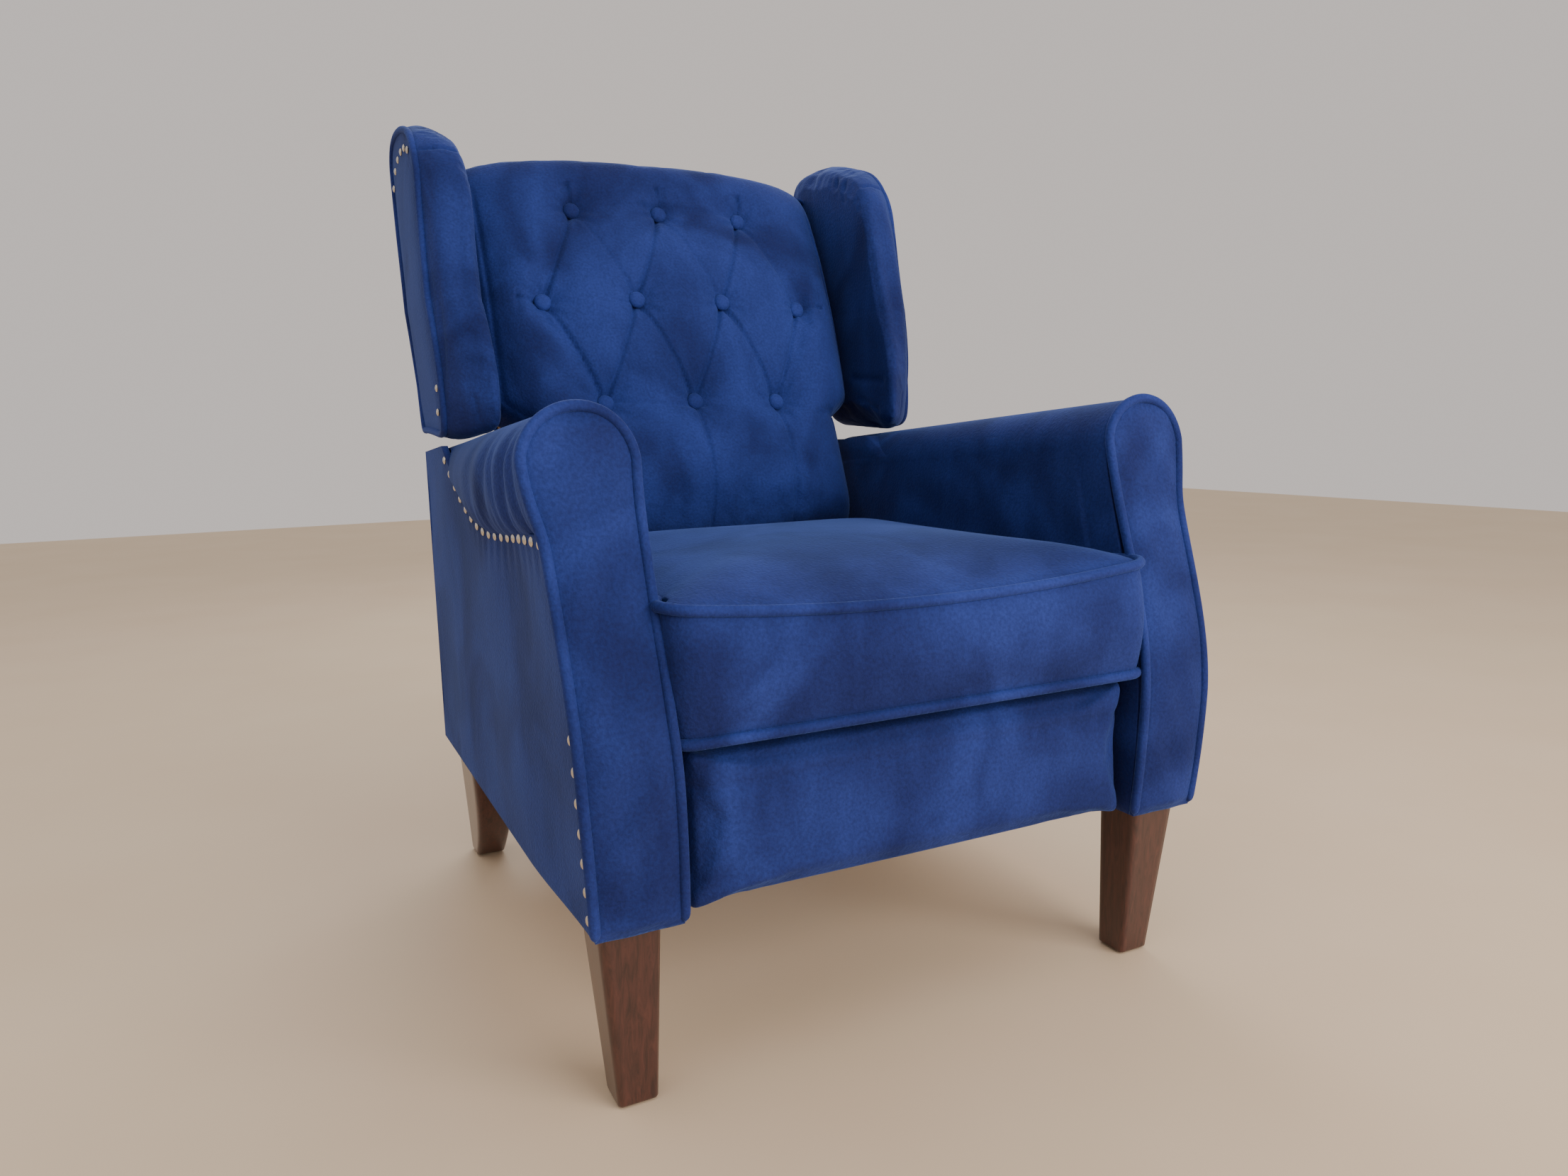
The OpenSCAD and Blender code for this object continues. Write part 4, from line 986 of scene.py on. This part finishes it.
def tuft(piece, spots):
    # Buttons pull dimples; pleats between them are narrow folds in shallow valleys
    points = getPoints(piece)
    x, t, v = toBack(points)
    front = smooth((t - back["bedT"] - 0.012) / 0.02)
    sink = np.zeros(len(points))
    for spot in spots:
        away = np.hypot(x - spot[0], v - spot[1])
        angle = np.arctan2(v - spot[1], x - spot[0])
        depth, at, width = back["ray"]
        rays = depth * np.cos(9 * angle + 40 * spot[0] + 25 * spot[1]) * bell(away - at, width)
        sink = np.maximum(sink, furrow("dimple", away) + furrow("hollow", away) + rays)
    for start, end, strength in pleatLines(spots):
        run = np.array(end) - np.array(start)
        along = np.clip(((x - start[0]) * run[0] + (v - start[1]) * run[1]) / (run @ run), 0, 1)
        away = np.hypot(x - start[0] - along * run[0], v - start[1] - along * run[1])
        sag = 1 - 0.45 * np.sin(np.pi * along)
        ends = 1 - 0.75 * bell(np.minimum(along, 1 - along), 0.05)
        sink = sink + strength * sag * ends * (furrow("crease", away) + furrow("valley", away))
    depth, width, inset = back["sideSeam"]
    seam = bell(np.abs(x) - backHalf(v) + inset, width)
    sink += depth * seam * smooth((0.56 - v) / 0.05) * smooth((v - 0.16) / 0.05)
    setPoints(piece, points - outBack * (sink * front)[:, None])


spots = buttonSpots()
backCushion = makeBackForm()
holdPoints = np.concatenate([onBack(spots[:, 0],
                                    backFront(spots[:, 1]) - backCrown(spots[:, 0], spots[:, 1]),
                                    spots[:, 1])])
swell(backCushion, back["voxel"], back["pressure"], back["reach"], holdPoints, hold=0.012)
tuft(backCushion, spots)


def settleBack(piece):
    # Flat on its straps, between the arms below and the wings above
    points = getPoints(piece)
    x, t, v = toBack(points)
    limit = backHalf(v) + 0.0035
    x = np.sign(x) * np.minimum(np.abs(x), limit)
    t = np.where(t < back["bedT"], back["bedT"] - 0.0004, t)
    setPoints(piece, onBack(x, t, v))


settleBack(backCushion)


def makeButtons(piece, spots):
    # Covered buttons: a profile turned about each button's axis, set where the cushion's front now is
    points = getPoints(piece)
    x, t, v = toBack(points)
    turn = np.linspace(0, 2 * np.pi, 28, endpoint=False)
    rise = np.linspace(0, 1, 10)
    radial = back["buttonR"] * np.concatenate([[0.72, 0.95], np.cos(rise * np.pi / 2) ** 0.75])
    radial[-1] = 0.0004
    lift = np.concatenate([[-0.0045, -0.0025], -0.0008 + 0.0062 * np.sin(rise * np.pi / 2) ** 1.1])
    pieces = []
    for k, spot in enumerate(spots):
        near = (np.hypot(x - spot[0], v - spot[1]) < 0.006) & (t > back["bedT"] + 0.02)
        floorT = t[near].mean() + 0.0062
        grid = onBack(spot[0] + radial[:, None] * np.cos(turn), floorT + lift[:, None] + 0 * turn,
                      spot[1] + radial[:, None] * np.sin(turn))
        pieces.append(loopPiece("button%d" % k, grid, pipingVelvetWithPaintedHighlight))
    return joined("backButtons", pieces, pipingVelvetWithPaintedHighlight)


backButtons = makeButtons(backCushion, spots)
for piece in (backCushion, backButtons):
    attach(piece, "backrest")
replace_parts(backCushion, "back_cushion")
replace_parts(backButtons, "back_buttons")


def outsideHalf(v):
    return 0.2415 + 0.0420 * smooth((v - 0.245) / 0.022)


def outsideDip(x, v):
    # The outside back's top edge is almost straight
    return 0.004 * (x / 0.2835) ** 2 * smooth((v - 0.45) / 0.14)


def makeOutsideBack():
    # A stretched panel on the rear of the frame, crowned a little, up to the top rail
    v = np.concatenate([np.linspace(0.001, 0.24, 30), np.linspace(0.245, 0.275, 14),
                        np.linspace(0.28, back["panelTop"], 60)])
    u = np.linspace(-1, 1, 80)
    x = outsideHalf(v)[:, None] * u
    drop = outsideDip(x, v[:, None])
    bow = (0.004 * (1 - np.abs(u) ** 6) * smooth(v / 0.03)[:, None]
           * smooth((back["panelTop"] - v) / 0.03)[:, None])
    outer = onBack(x, -bow, v[:, None] - drop)
    inner = onBack(x, np.full_like(x, 0.006), v[:, None] - drop)
    return loopPiece("outsideBack", np.concatenate([outer, inner[:, ::-1]], 1), velvetCloth)


def outsidePipingPath():
    # Up one side, across the top and down the other
    v = np.concatenate([np.linspace(0.004, 0.24, 30), np.linspace(0.245, 0.275, 14),
                        np.linspace(0.28, back["panelTop"] - 0.006, 50)])
    half = outsideHalf(v)
    right = np.column_stack([half, v])
    acrossX = np.linspace(1, -1, 40)[1:-1] * half[-1]
    top = np.column_stack([acrossX, np.full(38, back["panelTop"])])
    flat = np.concatenate([right, top, (right * [-1, 1])[::-1]])
    flat = evenly(roundOff(flat, 2, closed=False), 300)
    return onBack(flat[:, 0] * 0.992, np.full(len(flat), -0.0005),
                  flat[:, 1] - outsideDip(flat[:, 0], flat[:, 1]))


def makeTopWrap():
    # The cover carried over the top rail, from the outside back to the cushion
    half, low, high = 0.2800, 0.545, back["panelTop"]
    corners = [(-half, low), (-half, high), (half, high), (half, low)]
    path = evenly(roundOff(evenly(corners, 40), 3, closed=False), 200)
    ahead = np.gradient(path, axis=0)
    ahead /= np.linalg.norm(ahead, axis=1)[:, None]
    inward = np.column_stack([ahead[:, 1], -ahead[:, 0]])
    t = np.linspace(0.0055, 0.054, 16)
    rows = []
    for depth, across in ((0.0, t), (0.0028, t[::-1])):
        flat = path + inward * depth
        drop = outsideDip(flat[:, 0], flat[:, 1])
        rows.append(onBack(flat[:, :1], across[None], (flat[:, 1] - drop)[:, None]))
    return loopPiece("topWrap", np.concatenate(rows, 1), velvetCloth)


outsideBack = makeOutsideBack()
outsidePiping = tube("outsideBackPiping", outsidePipingPath(), 0.0036, outBack, pipingVelvetWithPaintedHighlight)
topWrap = makeTopWrap()
for piece in (outsideBack, outsidePiping, topWrap):
    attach(piece, "backrest")
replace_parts(outsideBack, "back_cover")
print("back made")


wing = {
    "innerX": 0.280, "outerX": 0.336, "round": 0.015, "edgeRound": 0.006, "coverCrown": 0.0042,
    "boardX": (0.3175, 0.3185, 0.3285, 0.3295),
    "leanZ": [0.58, 0.65, 0.75, 0.85, 0.95], "leanX": [-0.004, -0.003, 0.003, 0.002, 0.0],
    "slantZ": [0.58, 0.65, 0.75, 0.87, 0.93, 0.96], "slantY": [0.062, 0.065, 0.052, 0.040, 0.028, 0.014],
    "piping": 0.0046, "voxel": 0.0050, "pressure": 3.0, "reach": 0.010,
}
wingCorners = [   # y, z of the inner face's outline: foot, front edge, head, and the rear edge along the back
    (0.284, 0.588), (0.245, 0.589), (0.200, 0.588), (0.150, 0.585), (0.120, 0.583), (0.096, 0.588),
    (0.087, 0.606),
    (0.087, 0.656), (0.097, 0.700),
    (0.124, 0.770), (0.141, 0.825), (0.153, 0.872), (0.168, 0.908), (0.194, 0.938), (0.238, 0.963),
    (0.300, 0.980),
    (0.362, 0.985), (0.400, 0.978), (0.417, 0.957), (0.417, 0.940), (0.356, 0.770), (0.299, 0.610),
]


def wingOutline(count=320, inset=0.0):
    # The rounded outline, drawn in by inset along its inward normal
    path = evenly(roundOff(wingCorners, 2), count, closed=True)
    ahead = np.roll(path, -2, 0) - np.roll(path, 2, 0)
    ahead /= np.linalg.norm(ahead, axis=1)[:, None]
    inward = np.column_stack([ahead[:, 1], -ahead[:, 0]])
    middle = path.mean(0)
    if ((middle - path) * inward).sum() < 0:
        inward = -inward
    return path + inward * inset


def atX(x, path):
    # A path of y and z laid in the plane at x
    return np.column_stack([np.full(len(path), x), path])


def wingShear(points):
    # The front strip is set back towards its outer edge, and the wing leans outwards up its height
    points = np.array(points, float)
    across = np.clip((points[..., 0] - wing["innerX"] - 0.004) / (wing["outerX"] - wing["innerX"] - 0.004),
                     0, 1)
    ahead = smooth((0.36 - points[..., 1]) / 0.16)
    points[..., 1] += across * ahead * np.interp(points[..., 2], wing["slantZ"], wing["slantY"])
    points[..., 0] += np.interp(points[..., 2], wing["leanZ"], wing["leanX"])
    return points


def makeWingForm(name):
    # Loops of the outline: from the inner face's middle out to its rounded edge, across the strip,
    # and in over the outer side
    middle = wingOutline().mean(0)
    inner, outer, radius, small = wing["innerX"], wing["outerX"], wing["round"], wing["edgeRound"]
    rows = []
    for share in np.linspace(0.03, 1, 16):
        path = middle + (wingOutline(inset=radius) - middle) * share
        rows.append(atX(inner - 0.0015 * (1 - share ** 2), path))
    for angle in np.linspace(0, np.pi / 2, 9)[1:]:
        rows.append(atX(inner + radius - radius * np.cos(angle),
                        wingOutline(inset=radius - radius * np.sin(angle))))
    for share in np.linspace(0, 1, 10)[1:-1]:
        x = inner + radius + (outer - small - inner - radius) * share
        rows.append(atX(x, wingOutline(inset=-0.0035 * np.sin(np.pi * share))))
    for angle in np.linspace(0, np.pi / 2, 5):
        rows.append(atX(outer - small + small * np.sin(angle),
                        wingOutline(inset=small - small * np.cos(angle))))
    for share in np.linspace(1, 0.03, 14)[1:]:
        rows.append(atX(outer, middle + (wingOutline(inset=small) - middle) * share))
    return loopPiece(name, wingShear(rows), velvetCloth)


def wingSeam():
    path = wingOutline(320, inset=0.0035)
    return wingShear(atX(wing["outerX"] - 0.002, path))


wingPad = makeWingForm("leftWing")
seam = wingSeam()
swell(wingPad, wing["voxel"], wing["pressure"], wing["reach"], seam, hold=0.006)


def settleWing(piece):
    # Kept clear of the back cushion, flat under the outer cover
    points = getPoints(piece)
    lean = np.interp(points[:, 2], wing["leanZ"], wing["leanX"])
    points[:, 0] = np.clip(points[:, 0], wing["innerX"] - 0.004 + lean, wing["outerX"] + 0.0005 + lean)
    setPoints(piece, points)


settleWing(wingPad)
wingFolds = [   # start, end, width, depth: seam across the strip, gathers at the head and foot
    ((0.276, 0.196, 0.9320), (0.336, 0.213, 0.9330), 0.0024, 0.0040),
    ((0.280, 0.262, 0.955), (0.281, 0.250, 0.925), 0.0040, 0.0030),
    ((0.280, 0.236, 0.945), (0.281, 0.232, 0.912), 0.0040, 0.0026),
    ((0.276, 0.118, 0.648), (0.276, 0.205, 0.655), 0.0060, 0.0034),
    ((0.276, 0.130, 0.606), (0.276, 0.185, 0.626), 0.0055, 0.0028),
    ((0.284, 0.092, 0.600), (0.290, 0.094, 0.640), 0.0040, 0.0034),
    ((0.300, 0.108, 0.597), (0.304, 0.110, 0.632), 0.0040, 0.0032),
    ((0.316, 0.122, 0.597), (0.318, 0.124, 0.622), 0.0040, 0.0028),
]
press(wingPad, wingFolds)


def makeWingCover(name):
    # The outer panel: the outline drawn in, crowned outwards
    path = wingOutline(320, inset=0.010)
    middle = path.mean(0)
    rows = [atX(wing["outerX"] - 0.003, middle + (path - middle) * share) for share in (0.03, 0.5, 0.98)]
    for share in np.linspace(1, 0.03, 18):
        x = wing["outerX"] - 0.001 + wing["coverCrown"] * (1 - share ** 6)
        rows.append(atX(x, middle + (path - middle) * share))
    return loopPiece(name, wingShear(rows), velvetCloth)


wingCover = makeWingCover("leftWingCover")
wingPiping = tube("leftWingPiping", wingSeam() + [0.001, 0, 0], wing["piping"], (1, 0, 0), pipingVelvetWithPaintedHighlight,
                  closed=True)
wingPieces = {"left": (wingPad, wingCover, wingPiping)}
wingPieces["right"] = tuple(mirrorPiece(piece,
                                        piece.name.replace("left",
                                                           "right")) for piece in wingPieces["left"])
for side, (pad, cover, piping) in wingPieces.items():
    for piece in (pad, cover, piping):
        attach(piece, "backrest")
    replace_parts(pad, side + "_wing_pad")
    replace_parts(cover, side + "_wing_cover")


def makeWingBoards():
    # A plywood core inside each wing, following the slant of the front strip
    halves = []
    for sign in (1, -1):
        path = wingOutline(160, inset=0.026)
        rows = [wingShear(atX(x, path)) - [0.004, 0, 0] for x in wing["boardX"]]
        halves.append(loopPiece("board%d" % sign, np.array(rows) * [sign, 1, 1], plywood))
    return joined("wingCores", halves, plywood)


wingBoards = makeWingBoards()
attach(wingBoards, "backrest")
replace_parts(wingBoards, "wing_boards")


def wingNailPlaces():
    # Two behind the foot of the front edge, six over the head and down its rear edge
    both = np.array(nails["wingFoot"] + nails["wingHead"])
    lean = np.interp(both[:, 1], wing["leanZ"], wing["leanX"])
    return np.column_stack([wing["outerX"] + 0.0016 + lean, both])


places = wingNailPlaces()
wingNails = joined("wingNails",
                   [nailDomes("wingNailsLeft", places, (1, 0, 0)),
                    nailDomes("wingNailsRight", places * [-1, 1, 1], (-1, 0, 0))], nailMetal)
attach(wingNails, "backrest")
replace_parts(wingNails, "wing_nailheads")
print("wings made")


footrest = {"half": 0.2450, "frontY": -0.4010, "backY": -0.3605, "lowZ": 0.1775, "highZ": 0.3230,
            "voxel": 0.0050, "pressure": 3.0, "reach": 0.008,
            "boardHalf": 0.2397, "boardLow": 0.1803, "boardHigh": 0.3117}


def makeFootrestForm():
    # A rounded bar section carried across, narrowing into soft ends
    u = np.concatenate([[-1, -0.997], np.linspace(-0.985, 0.985, 90), [0.997, 1]])
    middleY, middleZ = (footrest["frontY"] + footrest["backY"]) / 2, (footrest["lowZ"] + footrest["highZ"]) / 2
    halfY, halfZ = (footrest["backY"] - footrest["frontY"]) / 2, (footrest["highZ"] - footrest["lowZ"]) / 2
    v, w = roundedSquare(120, 0.13)
    ease = np.clip(1 - ((np.abs(u) - 0.97).clip(0) / 0.03) ** 3 * 0.35, 0, 1)
    grid = np.stack([np.repeat(u[:, None] * footrest["half"], 120, 1), middleY + halfY * v * ease[:, None],
                     middleZ + halfZ * w * (0.9 + 0.1 * ease[:, None])], -1)
    return loopPiece("footrestPad", grid, velvetCloth)


footrestPad = makeFootrestForm()
rearRim = np.array([(x, footrest["backY"], z) for x in np.linspace(-0.24, 0.24, 60) for z in (0.182, 0.31)])
swell(footrestPad, footrest["voxel"], footrest["pressure"], footrest["reach"], rearRim, hold=0.008)


def settleFootrest(piece):
    # Flat against its board, and a soft roll along the top
    points = getPoints(piece)
    points[:, 1] = np.minimum(points[:, 1], footrest["backY"] + 0.0003)
    points[:, 0] = np.clip(points[:, 0], -0.2475, 0.2475)
    points[:, 2] = np.clip(points[:, 2], footrest["lowZ"] - 0.003, footrest["highZ"] + 0.003)
    face = smooth((footrest["backY"] - 0.012 - points[:, 1]) / 0.01)
    points[:, 1] += face * 0.0016 * bell(points[:, 2] - footrest["highZ"] + 0.034, 0.0055)
    setPoints(piece, points)


settleFootrest(footrestPad)


def makeFootrestEdging():
    # The cover wrapped over the board's edges and a little way in over its rear
    half, low, high = footrest["boardHalf"], footrest["boardLow"], footrest["boardHigh"]
    corners = [(-half, low), (half, low), (half, high), (-half, high)]
    path = evenly(roundOff(corners, 2, share=0.004), 700, closed=True)
    ahead = np.roll(path, -1, 0) - np.roll(path, 1, 0)
    ahead /= np.linalg.norm(ahead, axis=1)[:, None]
    away = np.column_stack([ahead[:, 1], -ahead[:, 0]])
    section = np.array([(0.0004, -0.3612), (0.0026, -0.3612), (0.0030, -0.3520), (0.0026, -0.3440),
                        (0.0, -0.3425),
                        (-0.0120, -0.3430), (-0.0120, -0.3446), (0.0004, -0.3447)])
    flat = path[:, None] + away[:, None] * section[None, :, :1]
    grid = np.stack([flat[..., 0], np.repeat(section[None, :, 1], len(path), 0), flat[..., 1]], -1)
    faces = gridFaces(len(path) + 1, len(section), around=True) % (len(path) * len(section))
    return meshPiece("footrestEdging", grid.reshape(-1, 3), [faces], velvetCloth)


for piece in (footrestPad, makeFootrestEdging()):
    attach(piece, "footrest")
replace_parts(footrestPad, "footrest_pad")
print("footrest made")


finishes = {"frame_wood": plywood, "leg_wood": mahogany, "nail_metal": nailMetal,
            "mechanism_steel": blackSteel,
            "zinc_steel": zincSteel, "spring_steel": springSteel, "webbing": webbing, "glide_nylon": nylon,
            "velvet": velvetCloth}
for part in frame["record"]["subparts"]:
    node = frame["nodes"][part["node"]]
    for slot in node.material_slots:
        slot.material = finishes[part["material_slot"]]
print("finishes set")
